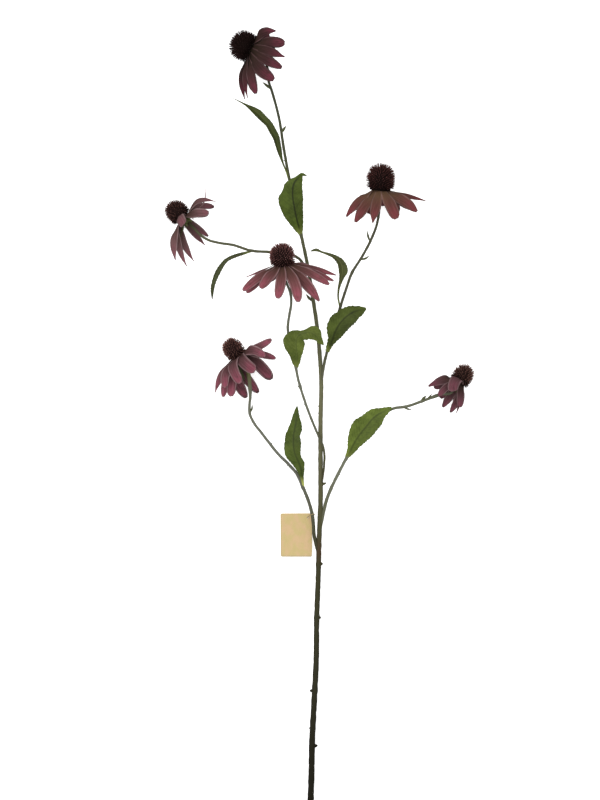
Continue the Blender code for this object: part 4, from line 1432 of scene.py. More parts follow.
@dataclass(frozen=True)
class Tag:
    """The bare card tag and the thread that ties it to the lower left stem."""

    middle: Spot = (296.3, 535.0, 2.9)
    slope: float = 6.0
    turn: float = 0.5
    size: tuple[float, float] = (37.9, 52.0)
    corner: float = 1.5
    hole_radius: float = 0.9
    hole_inset: float = 5.0
    thickness: float = 0.6
    bow: float = 0.5
    card: CardFinish = CardFinish()
    thread: ThreadFinish = ThreadFinish()
    rays: int = 240
    loop: tuple[Spot, ...] = (
        (307.5, 517.5, 2.6), (307.4, 517.2, 6.4), (308.8, 516.1, 13), (311.1, 514.8, 18.7),
        (313.3, 514.0, 18.6), (314.6, 514.0, 15.8), (313.7, 514.8, 10.4), (312.6, 516.2, 5),
        (310.6, 517.1, 2.6),
    )
    ply_radius: float = 0.26
    plies: int = 2
    ply_sides: int = 8
    twist_length: float = 2.4
    loop_rows: int = 240

    def hole(self) -> np.ndarray:
        """Return the hole's place on the card, from the card's middle."""
        return np.array(self.size) / 2 - self.hole_inset

    def outline(self) -> np.ndarray:
        """Return the card's outline as seen from its hole, at even angles.

        The distance to the straight edges is the smaller of those along x and y, and near a corner the
        outline keeps to the corner's circle.
        """
        corner = np.array(self.size) / 2
        turn = even_turns(self.rays)
        ray = np.column_stack([np.cos(turn), np.sin(turn)])
        with np.errstate(divide="ignore"):
            reach = (np.where(ray > 0, corner, -corner) - self.hole()) / ray
        reach = np.where(np.abs(ray) < 1e-9, np.inf, reach)
        edge = self.hole() + ray * reach.min(axis=1)[:, None]
        inner = np.clip(edge, self.corner - corner, corner - self.corner)
        off = edge - inner
        far = np.linalg.norm(off, axis=1, keepdims=True)
        return np.where(far > self.corner, inner + off / np.maximum(far, 1e-9) * self.corner, edge)

    def build_card(self) -> None:
        """Make and dress the card: rays from the hole's rim to the outline on both faces, joined at the rims.

        It is bowed by (2 x / width)^2, tilted about y by the slope and turned about z.
        """
        outline = self.outline()
        rim = self.hole() + self.hole_radius * unit(outline - self.hole())
        shares = np.concatenate([[0.0, 0.02], np.linspace(0.08, 0.92, 22), [0.985, 1.0]])
        half = self.thickness / 2
        soft = np.ones(len(shares))
        soft[[0, -1]] = 0.55
        upper = rim[None] + (outline - rim)[None] * shares[:, None, None]
        height = np.broadcast_to((half * soft)[:, None], upper.shape[:2])
        flat = np.concatenate([upper, upper[::-1]])
        level = np.concatenate([height, -height[::-1]])
        bow = self.bow * ((2 * flat[..., 0] / self.size[0]) ** 2 - 0.4)
        grid = np.stack([flat[..., 0], flat[..., 1], level + bow], axis=-1)[:, ::-1]
        across, up = (math.cos(math.radians(self.slope)), math.sin(math.radians(self.slope)))
        tilt = np.array([[across, 0, up], [0, 1, 0], [-up, 0, across]])
        ahead, aside = (math.cos(math.radians(self.turn)), math.sin(math.radians(self.turn)))
        spin = np.array([[ahead, aside, 0], [-aside, ahead, 0], [0, 0, 1]])
        placed = grid @ tilt @ spin + LAYOUT.place([self.middle])[0]
        rims = np.concatenate([shares, shares[::-1]])
        marks = np.concatenate([grid, grid[:1]])
        marks = np.concatenate([marks, marks[:, :1]], axis=1)
        skin = Skin()
        skin.add_grid(placed, marks[..., 0], marks[..., 1], looped=True, edge=rims[:, None], tint=0.5,
                      face=1.0)
        put_on(skin.finish("swing_tag_card"), Slot.CARD, self.card.make("card"), "swing_tag")

    def build_thread(self) -> None:
        """Make and dress the thread: plies that wind round the loop's line, a whole number of times."""
        spots = LAYOUT.place(self.loop)
        line = smooth_line(np.concatenate([spots, spots[:1]]), self.loop_rows + 1)[:-1]
        run = unit(np.roll(line, -1, axis=0) - np.roll(line, 1, axis=0))
        side = unit(np.cross(run, (0.0, 1.0, 0.0)))
        over = np.cross(run, side)
        distance = travelled(np.concatenate([line, line[:1]]))
        winds = round(distance[-1] / self.twist_length)
        girth = np.linspace(0, 2, self.ply_sides + 1)[None]
        skin = Skin()
        for ply in range(self.plies):
            turn = math.tau * (winds * distance[:-1] / distance[-1] + ply / self.plies)
            offset = np.cos(turn)[:, None] * side + np.sin(turn)[:, None] * over
            middle = line + self.ply_radius * 0.9 * offset
            grid = rings(middle, self.ply_radius, side, over, self.ply_sides)
            skin.add_grid(grid, girth, distance[:, None], looped=True, tint=0.5)
        put_on(skin.finish("tag_loop_thread"), Slot.THREAD, self.thread.make("thread"), "tag_loop")

    def build(self) -> None:
        """Make and dress the tag and its thread."""
        self.build_card()
        self.build_thread()


@dataclass(frozen=True)
class Studio:
    """Pale floor, soft light and the camera straight above the photograph's middle."""

    floor_half: float = 6.0
    floor_drop: float = 0.0004
    floor_colour: Colour = (255, 255, 255)
    floor_glow: float = 0.5
    sky: float = 0.8
    lamp_power: float = 100.0
    lamp_size: float = 3.0
    lamp_place: tuple[float, float, float] = (-0.7, 0.7, 3.2)
    lens: float = 112.5
    sensor: float = 36.0
    view_depth: tuple[float, float] = (0.1, 20.0)

    def floor(self) -> None:
        """Lay the floor, which glows a little and throws no light on the spray."""
        corners = [(x * self.floor_half, y * self.floor_half, -self.floor_drop)
                   for x, y in ((-1, -1), (1, -1), (1, 1), (-1, 1))]
        mesh = bpy.data.meshes.new("floor")
        mesh.from_pydata(corners, [], [(0, 1, 2, 3)])
        floor = bpy.data.objects.new("floor", mesh)
        graph = Graph("floor_paint")
        grain = graph.noise(graph.object_place(), 30.0, 2.0)
        colour = graph.brighten(self.floor_colour, 1.3 + grain * 0.02)
        mesh.materials.append(graph.finish(
            colour, 0.9, Specular_IOR_Level=0.0, Emission_Strength=self.floor_glow, Emission_Color=WHITE,
        ))
        floor.visible_diffuse = floor.visible_glossy = False
        bpy.context.scene.collection.objects.link(floor)

    def light(self) -> None:
        """Set the white sky and hang the softbox, which faces the spray's middle."""
        world = bpy.data.worlds.new("studio")
        bpy.context.scene.world = world
        world.use_nodes = True
        background = world.node_tree.nodes["Background"]
        background.inputs["Color"].default_value = WHITE
        background.inputs["Strength"].default_value = self.sky
        light = bpy.data.lights.new("softbox", "AREA")
        light.energy, light.size = self.lamp_power, self.lamp_size
        lamp = bpy.data.objects.new("softbox", light)
        lamp.location = self.lamp_place
        lamp.rotation_euler = (-Vector(self.lamp_place)).to_track_quat("-Z", "Y").to_euler()
        bpy.context.scene.collection.objects.link(lamp)

    def camera(self) -> None:
        """Hang the camera, which looks straight down, at the layout's eye."""
        lens = bpy.data.cameras.new("camera")
        lens.lens, lens.sensor_width = self.lens, self.sensor
        lens.clip_start, lens.clip_end = self.view_depth
        camera = bpy.data.objects.new("camera", lens)
        x, y = LAYOUT.outline_middle
        camera.location = (-x * METRES, -y * METRES, LAYOUT.eye_height * METRES)
        bpy.context.scene.collection.objects.link(camera)
        bpy.context.scene.camera = camera
        bpy.context.scene.view_settings.view_transform = "Standard"

    def build(self) -> None:
        """Make the floor, the light and the camera."""
        self.floor()
        self.light()
        self.camera()


MAIN_STEM = Stem(
    "main_stem",
    (
        (310.3, 810, 4.0), (311.4, 780, 4.2), (312.2, 740, 5.1), (314.2, 700, 6.4), (316.1, 660, 8.2),
        (316.6, 620, 10.5), (318.3, 575, 13.0), (319.2, 540, 14.5), (320.6, 500, 16.0), (320.5, 460, 17.5),
        (320.5, 420, 19.0), (321.1, 380, 20.5), (319.7, 355, 21.5), (316.6, 323, 22.5), (313.3, 301, 23.0),
        (307.0, 262, 24.5), (301.2, 235, 26.0), (289.4, 179.5, 30.0), (283.6, 147.4, 33.0),
        (279.1, 118.7, 36.0), (272.4, 92.9, 39.0), (268.4, 80, 40.6), (267.3, 68, 41.0),
    ),
    radii=(3.8, 3.36, 2.92, 2.48, 1.8, 1.5),
    finish=StemFinish((
        (0.0, (29, 27, 18)), (0.08, (35, 33, 22)), (0.2, (54, 53, 37)), (0.32, (65, 64, 43)),
        (0.34, (76, 60, 42)),
        (0.365, (78, 77, 53)), (0.42, (90, 88, 62)), (0.52, (113, 112, 84)), (0.77, (88, 90, 66)),
        (1.0, (60, 64, 50)),
    )),
    seed=1,
    host="",
    sides=24,
    nubs=(
        Nub(746, 0, 3.2, 4.8, 0.1), Nub(728, 175, 1.0, 3.2, 0.1), Nub(691, 180, 2.6, 4.4, 0.1),
        Nub(650, 60, 1.4, 3.4), Nub(617, 8, 2.0, 4.8, 0.1), Nub(564, 5, 2.1, 4.6, 0.1),
        Nub(484, 0, 4.0, 3.6, 0.3), Nub(414, 180, 1.4, 1.2),
        Nub(406, 175, 1.8, 1.2), Nub(230, 20, 1.6, 1.6), Nub(160, 170, 1.4, 1.4),
    ),
    knots=((746, 0.10), (691, 0.08), (617, 0.10), (564, 0.09), (553.6, 0.07), (484, 0.06), (235, 0.14)),
)
LEFT_STEM = Stem(
    "left_stem",
    (
        (306.3, 278, 24.0), (304.9, 269, 24.4), (301.6, 261.4, 25.5), (295, 256, 27.5), (283, 253, 29),
        (270, 252, 30.5), (251, 250.6, 33), (233, 245, 37), (217.6, 242.6, 41), (207.4, 239.6, 43),
        (200.5, 235, 43.8),
    ),
    finish=StemFinish(((0.0, (88, 88, 68)), (0.86, (94, 95, 72)), (1.0, (58, 57, 34)))),
    seed=2,
    grip=16.0,
    knots=((250.6, 0.10),),
)
RIGHT_STEM = Stem(
    "right_stem",
    (
        (323.4, 388, 24.3), (323.5, 378, 24.6), (324.0, 365, 25.6), (326.2, 355, 27), (332.4, 333, 31.5),
        (339.0, 311, 36), (346.5, 287.8, 39), (351.6, 273.5, 41), (361.8, 257.1, 43), (371, 239.8, 44),
        (377.1, 223.5, 43.6), (379.0, 212, 43),
    ),
    finish=StemFinish(((0.0, (96, 96, 74)), (0.4, (84, 84, 66)), (1.0, (80, 80, 62)))),
    seed=3,
    grip=30.0,
    knots=((306.0, 0.16), (272.4, 0.26), (241.6, 0.12)),
)
MIDDLE_STEM = Stem(
    "middle_stem",
    (
        (323.4, 497, 19.7), (323.4, 485, 20.2), (323.9, 468, 21.2), (324.4, 455, 22.9), (322.6, 445, 24.8),
        (319, 437, 26.6), (312.9, 422.8, 30.5), (305.2, 402.2, 37), (298.4, 380, 45), (294.4, 360, 52),
        (289.4, 340, 58), (287.8, 328, 62), (289.2, 316, 65.5), (291.2, 303, 68), (290.4, 293, 69),
        (287.6, 285.5, 69.5),
    ),
    radii=(1.1, 1.5, 1.65, 1.5),
    finish=StemFinish((
        (0.0, (64, 60, 40)), (0.16, (78, 76, 52)), (0.4, (114, 116, 100)), (1.0, (106, 108, 92)),
    )),
    seed=4,
    grip=37.0,
    nubs=(Nub(404, 175, 1.6, 1.4), Nub(386, 180, 1.8, 1.8)),
    knots=((386.5, 0.30), (367.0, 0.16)),
)
LOWER_LEFT_STEM = Stem(
    "lower_left_stem",
    (
        (315.0, 562, 13.8), (315.0, 551, 14.2), (314.0, 535, 15), (312.1, 514, 16.5), (307.7, 498.8, 18),
        (302.8, 487, 19.5), (297.3, 474.6, 21), (288.2, 463.9, 23), (277.5, 453.2, 25.5),
        (270.4, 444.3, 27.5), (261.4, 432.7, 30), (253.4, 422, 33), (249.8, 413.9, 35), (249.4, 406.8, 36.5),
        (250.3, 396, 37.6), (249.7, 385, 38), (248.8, 376, 38),
    ),
    radii=(2.1, 2.0, 1.65, 1.5),
    finish=StemFinish((
        (0.0, (58, 54, 38)), (0.14, (76, 76, 56)), (0.3, (98, 99, 84)), (0.5, (116, 117, 106)),
        (0.86, (112, 114, 96)), (0.95, (124, 122, 76)),
    )),
    seed=5,
    nubs=(Nub(464, 160, 1.4, 1.4), Nub(444, 20, 1.4, 1.4)),
    knots=((487.0, 0.16), (444.0, 0.12), (413.0, 0.14), (388.0, 0.5, 7.0), (377.0, 0.7, 7.0)),
)
LOWER_RIGHT_STEM = Stem(
    "lower_right_stem",
    (
        (323.6, 534, 15), (323.9, 522, 15.3), (324.2, 510, 15.8), (326.6, 500, 16.8), (330, 491, 17.8),
        (338.2, 473.8, 20), (346.3, 458.6, 22.5), (357, 443, 25), (371, 427.5, 28), (381, 416, 30.5),
        (392, 409, 32.5), (407, 406.3, 34), (423.3, 400.7, 34.6), (433, 397.0, 34.0), (441, 394.2, 32.5),
    ),
    radii=(2.1, 1.6),
    finish=StemFinish(((0.0, (92, 92, 68)), (0.3, (118, 120, 102)), (1.0, (102, 104, 84)))),
    seed=6,
    nubs=(Nub(474, 10, 1.4, 1.4),),
    knots=((458.0, 0.14), (416.0, 0.10), (401.0, 0.12), (396.0, 0.35, 6.0)),
)

DARK_MAROON = PetalFinish((50, 37, 29), (66, 40, 41), (106, 48, 62), (104, 76, 78), 0.85)
DEEP_MAROON = PetalFinish((78, 58, 50), (108, 78, 78), (140, 82, 94), (156, 130, 130), 0.6)
BROWN_MAROON = PetalFinish((96, 72, 54), (100, 60, 55), (126, 58, 64), (132, 102, 98), 0.75)
DUSTY_MAROON = PetalFinish((74, 52, 44), (108, 66, 67), (150, 78, 91), (166, 130, 132), 0.8)
ROSE_MAROON = PetalFinish((72, 50, 45), (102, 66, 70), (154, 80, 98), (174, 142, 144), 0.75)
PLUM_MAROON = PetalFinish((64, 47, 40), (88, 57, 61), (122, 68, 81), (142, 114, 116), 0.75)

HEADS = (
    Head(
        "top_flower", MAIN_STEM, (250.6, 48.9, 42), (239.4, 43.4, 43), 16.0, 22.6, 9.0, 11.5,
        upper=(
            Petal((245, 100, 26), 7.5, facing=0.9, blunt=0.25, sway=(-2.6, 0), tint=0.2),
            Petal((276, 31, 66), 10.5, facing=1.0, cup=0.7, blunt=0.4, sway=(-2.2, -3.4), tint=0.3),
            Petal((270, 36, 22), 9), Petal((275, 50, 3)), Petal((268, 77, 3)),
            Petal((247.7, 98.5, 46), 6, facing=0.9, blunt=0.25, sway=(-1.4, 0), tint=0.5),
        ),
        lower=(
            Petal((256, 94, 60), 10, facing=1.0), Petal((274, 80, 73), 13, facing=1.0, sway=(-1, 1)),
            Petal((282, 68, 78), 10.5, facing=1.0, blunt=0.7),
            Petal((285, 57, 82), 10, twist=8, blunt=0.3, tint=0.35),
            Petal((285, 43, 78), 12, facing=1.0, blunt=0.85), Petal((277, 65, 1)), Petal((253, 91, 12), 9),
        ),
        cone=ConeShape(360, 4.6, 0.50, 0.4, 0.05, ConeFinish((10, 5, 4), (24, 14, 13), (38, 27, 26)), 1.13),
        finish=DARK_MAROON,
        root_width=8.0,
        seed=1,
    ),
    Head(
        "left_flower", LEFT_STEM, (182.6, 217.4, 45), (172.6, 208.0, 46.5), 12.5, 22.0, 8.0, 10.5,
        upper=(
            Petal((175.5, 260.4, 62), 8.5, facing=0.9, blunt=0.3, sway=(-2, -0.5)),
            Petal((209, 213, 80), 9.5, facing=1.0, tint=0.5, cup=0.35),
            Petal((205.6, 187.5, 30), 3.0, facing=0.1, blunt=0.2, cup=0.1, sway=(6.5, 4), tint=1.0),
            Petal((208, 215, 2), 8), Petal((208.4, 236.4, 2), 7.5, facing=1.0, blunt=0.6, tint=0.8),
            Petal((187, 266.7, 40), 7.5, facing=0.9, blunt=0.25, sway=(-2.5, 0), tint=0.8),
        ),
        lower=(
            Petal((183.3, 225.2, 84), 12.5, facing=0, rise=36, cup=0.7, blunt=0.85, sway=(1, 0), tint=0.3),
            Petal((217.6, 202.3, 68), 6, facing=0.7, blunt=0.12, sway=(-3.6, -6.2), tint=0.0),
            Petal((214.4, 207.0, 18), 7, facing=1.0, blunt=0.95, sway=(-3.6, -3), tint=0.5),
            Petal((205.5, 245.7, 8), 7, facing=1.0, blunt=0.25, tint=0.5),
            Petal((194.6, 262.3, 30), 7.5, facing=0.9, blunt=0.2, sway=(-1.5, 0), tint=0.8),
        ),
        cone=ConeShape(360, 3.2, 0.46, 0.3, 0.16, ConeFinish((18, 10, 9), (46, 29, 26), (74, 53, 48)), 1.10),
        finish=DEEP_MAROON,
        root_width=8.0,
        sepals=((9, 0.0, 6.5), (9, 20.0, 5.2), (6, 60.0, 8.0), (1, 8.0, 17.0, 12.0), (1, 330.0, 12.0, 20.0)),
        seed=2,
    ),
    Head(
        "right_flower", RIGHT_STEM, (380, 189.6, 46), (381.0, 175, 49), 16.0, 28.6, 9.5, 12.0,
        upper=(
            Petal((346, 217, 58), 10, blunt=0.45, sway=(-0.8, -1.2)),
            Petal((372.6, 223, 80), 11.5, facing=1.0, blunt=0.3, tint=0.6),
            Petal((396.5, 219, 84), 12.5, facing=1.0, blunt=0.85, tint=0.6),
            Petal((426.6, 201, 56), 6, facing=0.5, blunt=0.3, sway=(0, 0.5), tint=0.1),
            Petal((413, 209, 28)), Petal((384, 206, 1)),
        ),
        lower=(
            Petal((355, 222.4, 70), 11.5, facing=1.0, blunt=0.55),
            Petal((417.4, 212, 72), 11.5, facing=1.0, notch=0.02, blunt=0.6, sway=(0.5, -1)),
            Petal((398, 212, 5)), Petal((369, 214, 3)), Petal((352, 210, 26), 10),
        ),
        cone=ConeShape(430, 4.6, 0.47, 0.5, 0.06, ConeFinish((14, 7, 6), (44, 25, 23), (76, 48, 45)), 1.09),
        finish=BROWN_MAROON,
        bend=4.0,
        cone_profile=(
            (0.0, 0.0), (0.74, 0.0), (0.90, 0.11), (1.0, 0.32), (0.96, 0.56), (0.78, 0.79), (0.44, 0.95),
            (0.0, 1.0),
        ),
        seed=3,
    ),
    Head(
        "middle_flower", MIDDLE_STEM, (283.0, 263.8, 78), (281.9, 251.0, 83.5), 15.0, 24.5, 9.0, 11.5,
        upper=(
            Petal((242.6, 290.8, 80), 9.5, facing=0.9, sway=(-0.5, 1)),
            Petal((260.6, 288.5, 110), 11, facing=1.0, tint=0.7),
            Petal((277.8, 298.8, 112), 11.5, facing=1.0, sway=(0.8, 0), tint=0.6),
            Petal((298.4, 302.3, 108), 12, facing=1.0, sway=(2.2, 0), tint=0.7),
            Petal((329.5, 284.7, 89), 8.5, facing=0.9),
            Petal((336.4, 275.2, 66), 7, blunt=0.4, facing=0.7, sway=(0, 1)), Petal((305, 275, 32)),
            Petal((245.5, 277, 46), 3.6, facing=0.5, blunt=0.3, cup=0.1, sway=(0, 2.5), tint=0.6),
        ),
        lower=(
            Petal((246.4, 293, 66), 9.5, facing=0.9, sway=(-0.5, 1)),
            Petal((319.5, 301.5, 96), 11.5, facing=1.0, blunt=0.5, tint=0.6),
            Petal((334, 281, 76), 8, blunt=0.5, sway=(0, 1)), Petal((320, 274, 48), 9),
            Petal((290, 280, 24)),
            Petal((270, 281, 26)),
        ),
        cone=ConeShape(400, 3.2, 0.52, 0.5, 0.06, ConeFinish((14, 7, 6), (58, 34, 33), (118, 88, 84)), 1.01),
        finish=DUSTY_MAROON,
        seed=4,
    ),
    Head(
        "lower_left_flower", LOWER_LEFT_STEM, (237.4, 354.9, 45), (232.0, 347.5, 49), 12.5, 23.0, 8.0, 11.0,
        upper=(
            Petal((215.2, 393, 38), 8, facing=0.8, blunt=0.25, sway=(-1.5, 0), tint=0.7),
            Petal((225.3, 388, 74), 10, facing=1.0, sway=(-3, 0), tint=0.45),
            Petal((240.8, 383.3, 80), 11.5, facing=1.0, rise=18, blunt=0.85, sway=(-3.2, 0), tint=0.3),
            Petal((255.4, 371, 78), 13, facing=1.0, rise=18, blunt=0.9, sway=(-2.6, 1.2), tint=0.2),
            Petal((265.4, 356.6, 74), 10.5, facing=1.0, tint=0.7, sway=(-1.5, -4.5)),
            Petal((271.8, 339, 50), 8, facing=0.9, blunt=0.8, sway=(1, 2.5), tint=0.7),
            Petal((258, 364, 1)),
        ),
        lower=(
            Petal((223, 397.3, 50), 9, facing=1.0, tint=0.8),
            Petal((231, 396.8, 60), 10.5, facing=1.0, blunt=0.9, tint=0.8),
            Petal((276, 358.6, 34), 8, facing=1.0),
            Petal((271.8, 379.5, 22), 13, facing=1.0, blunt=0.85, tint=0.5),
            # tint 1.1 paints light on the rear petal, which lies in the shade of those in front.
            Petal((240, 384, 1)), Petal((258.6, 393, 16), 11, facing=1.0, tint=1.1),
            Petal((246.6, 398, 24), 12, facing=1.0, sway=(-1, 0), tint=0.6),
        ),
        cone=ConeShape(400, 2.8, 0.45, 0.4, 0.10, ConeFinish((20, 11, 10), (66, 42, 38), (108, 82, 74)), 1.0),
        finish=ROSE_MAROON,
        root_width=7.6,
        sepals=(
            (9, 0.0, 5.2), (9, 20.0, 4.2), (1, 352.0, 31.0, 60.0), (1, 25.0, 26.0, 60.0),
            (1, 328.0, 24.0, 62.0),
        ),
        seed=5,
    ),
    Head(
        "lower_right_flower", LOWER_RIGHT_STEM, (458.6, 382.0, 36), (464.6, 373.2, 38), 12.0, 22.0, 7.5, 9.5,
        upper=(
            Petal((428, 386.4, 44), 10.5, blunt=0.45, sway=(3.8, -2.8)),
            Petal((453.4, 391.5, 64), 12.5, facing=0, rise=56, cup=0.5, blunt=0.9, sway=(-4.5, -1), tint=0.8),
            Petal((460, 407.5, 58), 8.5, sway=(-0.6, 0), tint=0.2), Petal((455, 404, 1)),
            Petal((440, 398, 2)),
        ),
        lower=(
            Petal((438.5, 396, 56), 8, facing=1.0, sway=(-0.5, -1.5), tint=0.6),
            Petal((456.3, 413.6, 40), 4.5, facing=0.3, blunt=0.25, tint=0.1),
            # tint 1.1 paints light on these two petals, which lie in the shade of the upper ring.
            Petal((450, 412.7, 30), 8, facing=1.0, blunt=0.6, tint=1.1),
            Petal((442.4, 407.4, 20), 9, facing=1.0, blunt=0.6, tint=1.1),
            Petal((434, 388, 24)),
        ),
        cone=ConeShape(330, 3.8, 0.48, 0.5, 0.12, ConeFinish((20, 11, 9), (54, 36, 32), (96, 70, 61)), 1.05),
        finish=PLUM_MAROON,
        root_width=8.4,
        sepals=(
            (9, 0.0, 6.0), (9, 20.0, 5.0), (6, 10.0, 8.0), (1, 172.0, 17.0, 52.0), (1, 205.0, 15.0, 56.0),
        ),
        seed=6,
    ),
)

LEAVES = (
    Leaf(
        "leaf_1", "main_stem",
        (
            (289.4, 179.5, 30, 1, 1), (286.6, 172.4, 32.1, 1, 1), (283.9, 165.8, 33.9, 1.1, 1.1),
            (281.5, 159, 35.3, 1.6, 1.6), (279.6, 151.8, 36.4, 3.0, 3.0), (277.8, 144.6, 37.5, 3.8, 3.8),
            (275.8, 137, 38.3, 4.4, 4.4), (272.3, 130.7, 38.9, 4.6, 4.6), (268.6, 124.2, 38.9, 4.5, 4.5),
            (263.3, 118.8, 38.4, 4.8, 4.8), (258, 113.5, 37.3, 5.0, 4.9), (252.2, 109.1, 35.6, 3.4, 3.4),
            (246.6, 105.4, 33.2, 1.6, 1.6), (240, 101.8, 30.7, 0.8, 0.8), (233.2, 98.3, 28, 0.4, 0.4),
        ),
        roll=(10, 10), finish=LeafFinish((62, 70, 26), (82, 90, 44), (44, 52, 14), left=0.9, right=1.05),
        seed=1,
        serration=0.3,
    ),
    Leaf(
        "leaf_2", "main_stem",
        (
            (301.2, 235, 26, 2, 1.8), (299.7, 230.2, 29.1, 5.0, 4.4), (298.2, 225.4, 32.2, 7.2, 6.4),
            (296.9, 220.6, 34.6, 10, 8.2), (295.8, 215.7, 36.2, 12.9, 9.6), (294.8, 210.8, 37.4, 14.8, 10.6),
            (293.9, 205.8, 38.4, 16, 11.8), (292.9, 200.9, 39.1, 16.6, 13.2),
            (292.3, 195.9, 39.8, 16.2, 13.6),
            (292.2, 190.9, 40.9, 11.6, 13.4), (292.7, 185.9, 41.9, 10, 12.8), (294.6, 181.2, 42.3, 5.6, 11.6),
            (297.7, 177.3, 41.8, 2.2, 8.2), (301.9, 174.5, 40, 2.1, 3), (306.8, 175.7, 38, 0.5, 0.5),
        ),
        roll=(-8, -8), seed=2,
        finish=LeafFinish((72, 86, 28), (100, 118, 48), (52, 64, 14), left=1.1, right=0.94, crease_shade=0.85),
    ),
    Leaf(
        "leaf_3", "left_stem",
        (
            (251.5, 251, 33, 1, 1), (244, 253.6, 31, 2.2, 2.2), (236, 256, 29, 2.8, 2.8),
            (227, 260.3, 26, 3.2, 3.2), (220.6, 268.4, 22, 3.7, 3.7), (215.4, 278.6, 17, 3.6, 3.6),
            (212.9, 288, 12, 3.2, 3.2), (212.2, 299.6, 7, 0.5, 0.5),
        ),
        roll=(30, 30), finish=LeafFinish((68, 74, 42), (88, 92, 64), (52, 56, 26)), seed=3,
    ),
    Leaf(
        "leaf_4", "right_stem",
        (
            (340.9, 306, 36.6, 1, 1), (338.2, 298, 38.5, 1.1, 1.1), (338.6, 289, 41, 1.4, 1.4),
            (341, 279, 43, 2.6, 3), (342.4, 270, 45, 5.2, 6.6), (340.4, 262.5, 46, 5, 5),
            (334.5, 256.8, 46, 3.2, 2.6), (327.5, 254, 44, 1.8, 1.8), (321.5, 252, 42, 1.3, 1.3),
            (316, 249.9, 40, 2.1, 1.8), (310.5, 251.2, 37, 0.5, 0.5),
        ),
        roll=(12, 12), finish=LeafFinish((72, 78, 38), (98, 102, 62), (54, 58, 24)), seed=4,
    ),
    Leaf(
        "leaf_5", "middle_stem",
        (
            (296.2, 367, 50, 2, 2), (296.6, 362.4, 53.7, 5.2, 4.4), (296.8, 357.8, 57.1, 7.4, 5.4),
            (296.4, 353.3, 59.8, 9, 7.6), (296, 348.7, 62.2, 12, 9.6), (295.6, 344, 64.3, 14.2, 11.2),
            (296.1, 339.5, 66.2, 14.8, 11), (298, 335.2, 68, 9.4, 9.6), (301.5, 332.5, 69, 2.8, 9.6),
            (306.1, 331.5, 69, 3.4, 10.6), (310.7, 332.3, 68, 8.6, 8.8), (314.8, 334.3, 66.5, 8.8, 7.7),
            (318.2, 337.5, 64.8, 4.8, 5.2), (321, 341.1, 62.9, 2.6, 4.4), (323.5, 345, 61, 0.5, 0.5),
        ),
        finish=LeafFinish((94, 106, 42), (120, 134, 66), (70, 82, 26), left=0.96, right=1.04, crease_shade=0.35),
        seed=5,
    ),
    Leaf(
        "leaf_6", "right_stem",
        (
            (327.2, 352, 27.5, 2.4, 2.4), (328.9, 347.5, 31, 3.8, 3.2), (330.6, 343, 34.4, 4.6, 4.6),
            (332.3, 338.4, 37, 5.8, 7), (333.9, 333.8, 39.1, 9, 10.2), (335.8, 329.4, 40.8, 11.8, 11.6),
            (338.2, 325.2, 42.3, 13, 12.8), (341.1, 321.3, 43.4, 13.2, 13.2), (344.3, 317.7, 44, 11, 13.8),
            (348, 314.6, 44.4, 10.2, 13.6), (352.1, 311.9, 44.3, 8.2, 12.4), (356.5, 310.1, 43.4, 5.6, 10),
            (361.2, 309, 41.7, 3.6, 7.4), (366, 308, 40, 0.6, 2),
        ),
        finish=LeafFinish((74, 86, 30), (98, 112, 56), (54, 64, 16), left=1.14, right=0.92, crease_shade=0.6),
        seed=6,
        serration=0.9,
    ),
    Leaf(
        "leaf_7", "lower_left_stem",
        (
            (302.9, 487, 19.5, 1.2, 1.2), (302.5, 480.5, 23.3, 1.5, 1.8), (301.4, 475.2, 26.2, 2.8, 3.2),
            (300.6, 469.8, 28.1, 5.2, 5.0), (298.8, 464.1, 29.4, 6.8, 7.2), (296.6, 458.7, 30.4, 9, 6.4),
            (294.3, 453.2, 30.9, 11.2, 8.1), (293.2, 447.4, 31.2, 11.2, 9.6), (292.9, 441.4, 31.2, 10.2, 10),
            (293, 435.5, 31, 9.4, 8.6), (293.8, 429.6, 30.7, 7.4, 10), (295, 423.7, 30.3, 5.9, 8.6),
            (295.9, 417.8, 29.7, 5, 5.2), (296.5, 411.9, 28.9, 3.3, 3.1), (297.1, 406, 28, 0.5, 0.5),
        ),
        seed=7, wave=0.9,
        # Its bright root colour is the pale bare petiole with a painted highlight along it.
        finish=LeafFinish(
            (78, 92, 34), (104, 120, 56), (54, 68, 20), (204, 211, 112), left=1.08, right=0.92, crease_shade=0.5,
        ),
    ),
    Leaf(
        "leaf_8", "lower_right_stem",
        (
            (347, 457.5, 22.8, 2.2, 2), (349, 452.6, 26, 3.6, 5.2), (351.2, 447.7, 29.1, 5, 7.6),
            (353.6, 443, 31.4, 8.2, 9), (356.4, 438.4, 33.1, 11, 11), (359.4, 434.1, 34.7, 13.6, 12.4),
            (362.7, 429.9, 35.9, 15.2, 13.6), (366.2, 425.8, 37, 15, 13.7), (369.4, 421.5, 38, 12, 13.9),
            (372.9, 417.5, 38.8, 10.4, 14), (377.1, 414.3, 39.3, 8.6, 12.4), (381.7, 411.7, 39.5, 5.5, 8.2),
            (386.5, 409.3, 39.4, 3.2, 5.6), (391.3, 407, 39, 0.6, 2.4),
        ),
        finish=LeafFinish((98, 114, 44), (126, 144, 66), (74, 88, 30), left=1.14, right=0.86, crease_shade=0.5),
        seed=8,
        serration=0.8,
    ),
)


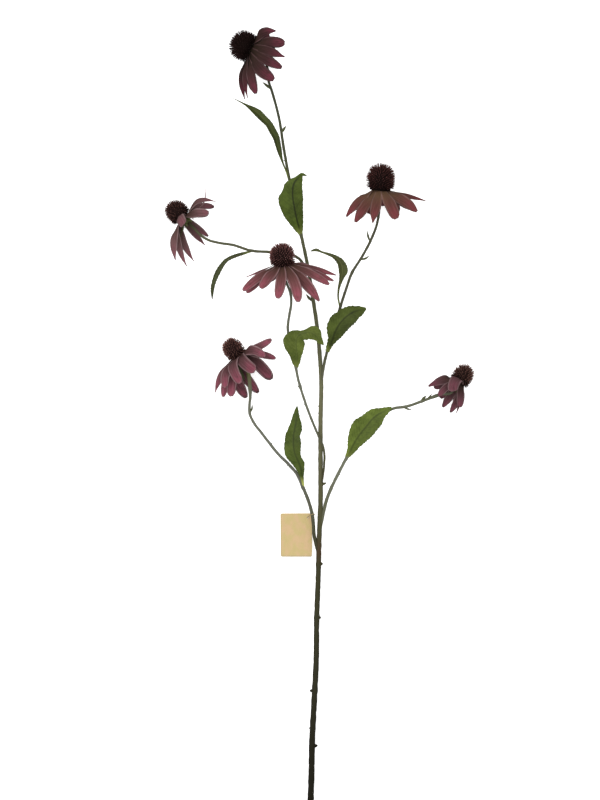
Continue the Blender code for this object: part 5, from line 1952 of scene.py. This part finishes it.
def bract(number: int, stem: str, midrib: tuple, half: float = 1.6) -> Leaf:
    """Return a small pointed leaf that is widest at its middle.

    Args:
        number: Its number along the spray.
        stem: The name of its stem.
        midrib: The spots of its root, middle and tip.
        half: Half its largest width in millimetres.

    Returns:
        The bract.
    """
    stations = tuple((*spot, width, width) for spot, width in zip(midrib, (0.9, half, 0.3)))
    small = LeafFinish((72, 77, 46), (94, 98, 66), (54, 56, 30))
    return Leaf(f"bract_{number}", stem, stations, small, 20 + number, wave=0.0, serration=0.0,
                rib=(0.5, 0.2), rows=26, columns=11)


BRACTS = (
    bract(1, "main_stem", ((271, 88.5, 39.5), (266.8, 85.6, 40.5), (262.8, 82.4, 41))),
    bract(2, "main_stem", ((281.4, 132.5, 35), (283.8, 129.2, 36.5), (286.4, 125.7, 37))),
    bract(3, "main_stem", ((312, 301.4, 23), (309, 298, 24), (306.1, 294.2, 24.5))),
    bract(4, "right_stem", ((370.4, 241.6, 44), (368, 236, 46), (367.4, 231, 47)), 1.3),
    bract(5, "right_stem", ((361, 259, 43), (365.6, 258.4, 44.5), (369.5, 255.6, 45)), 1.3),
    bract(6, "lower_left_stem", ((249.6, 412, 35.5), (252, 408.4, 37.5), (252.2, 404.5, 38.5)), 1.1),
    bract(7, "lower_right_stem", ((421.4, 401.6, 34.5), (423.6, 398.2, 36.5), (426.6, 395.4, 37))),
    bract(8, "lower_right_stem", ((404, 407, 33.8), (407.8, 409, 35), (411.8, 409.6, 35)), 1.1),
    bract(9, "lower_right_stem", ((428, 399, 34.6), (429.8, 396.4, 37), (432, 393.6, 37.6)), 1.0),
)


@dataclass(frozen=True)
class Spray:
    """The whole spray: heads on their stems, leaves and bracts, and the tag."""

    heads: tuple[Head, ...] = HEADS
    leaves: tuple[Leaf, ...] = LEAVES + BRACTS
    tag: Tag = Tag()
    green: LeafFinish = LeafFinish((78, 84, 44), (104, 110, 66), (54, 56, 28))

    def build(self) -> None:
        """Make and dress everything, stems first, since the leaves stand on them."""
        lines: dict[str, np.ndarray] = {}
        for head in self.heads:
            lines[head.stem.name] = head.stem.build(head, lines.get(head.stem.host))
            head.build(self.green)
        for leaf in self.leaves:
            leaf.build(lines[leaf.stem])
        self.tag.build()


def main() -> None:
    """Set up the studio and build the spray."""
    logging.basicConfig(level=logging.INFO, format="%(message)s")
    Studio().build()
    Spray().build()


if __name__ == "__main__":
    main()
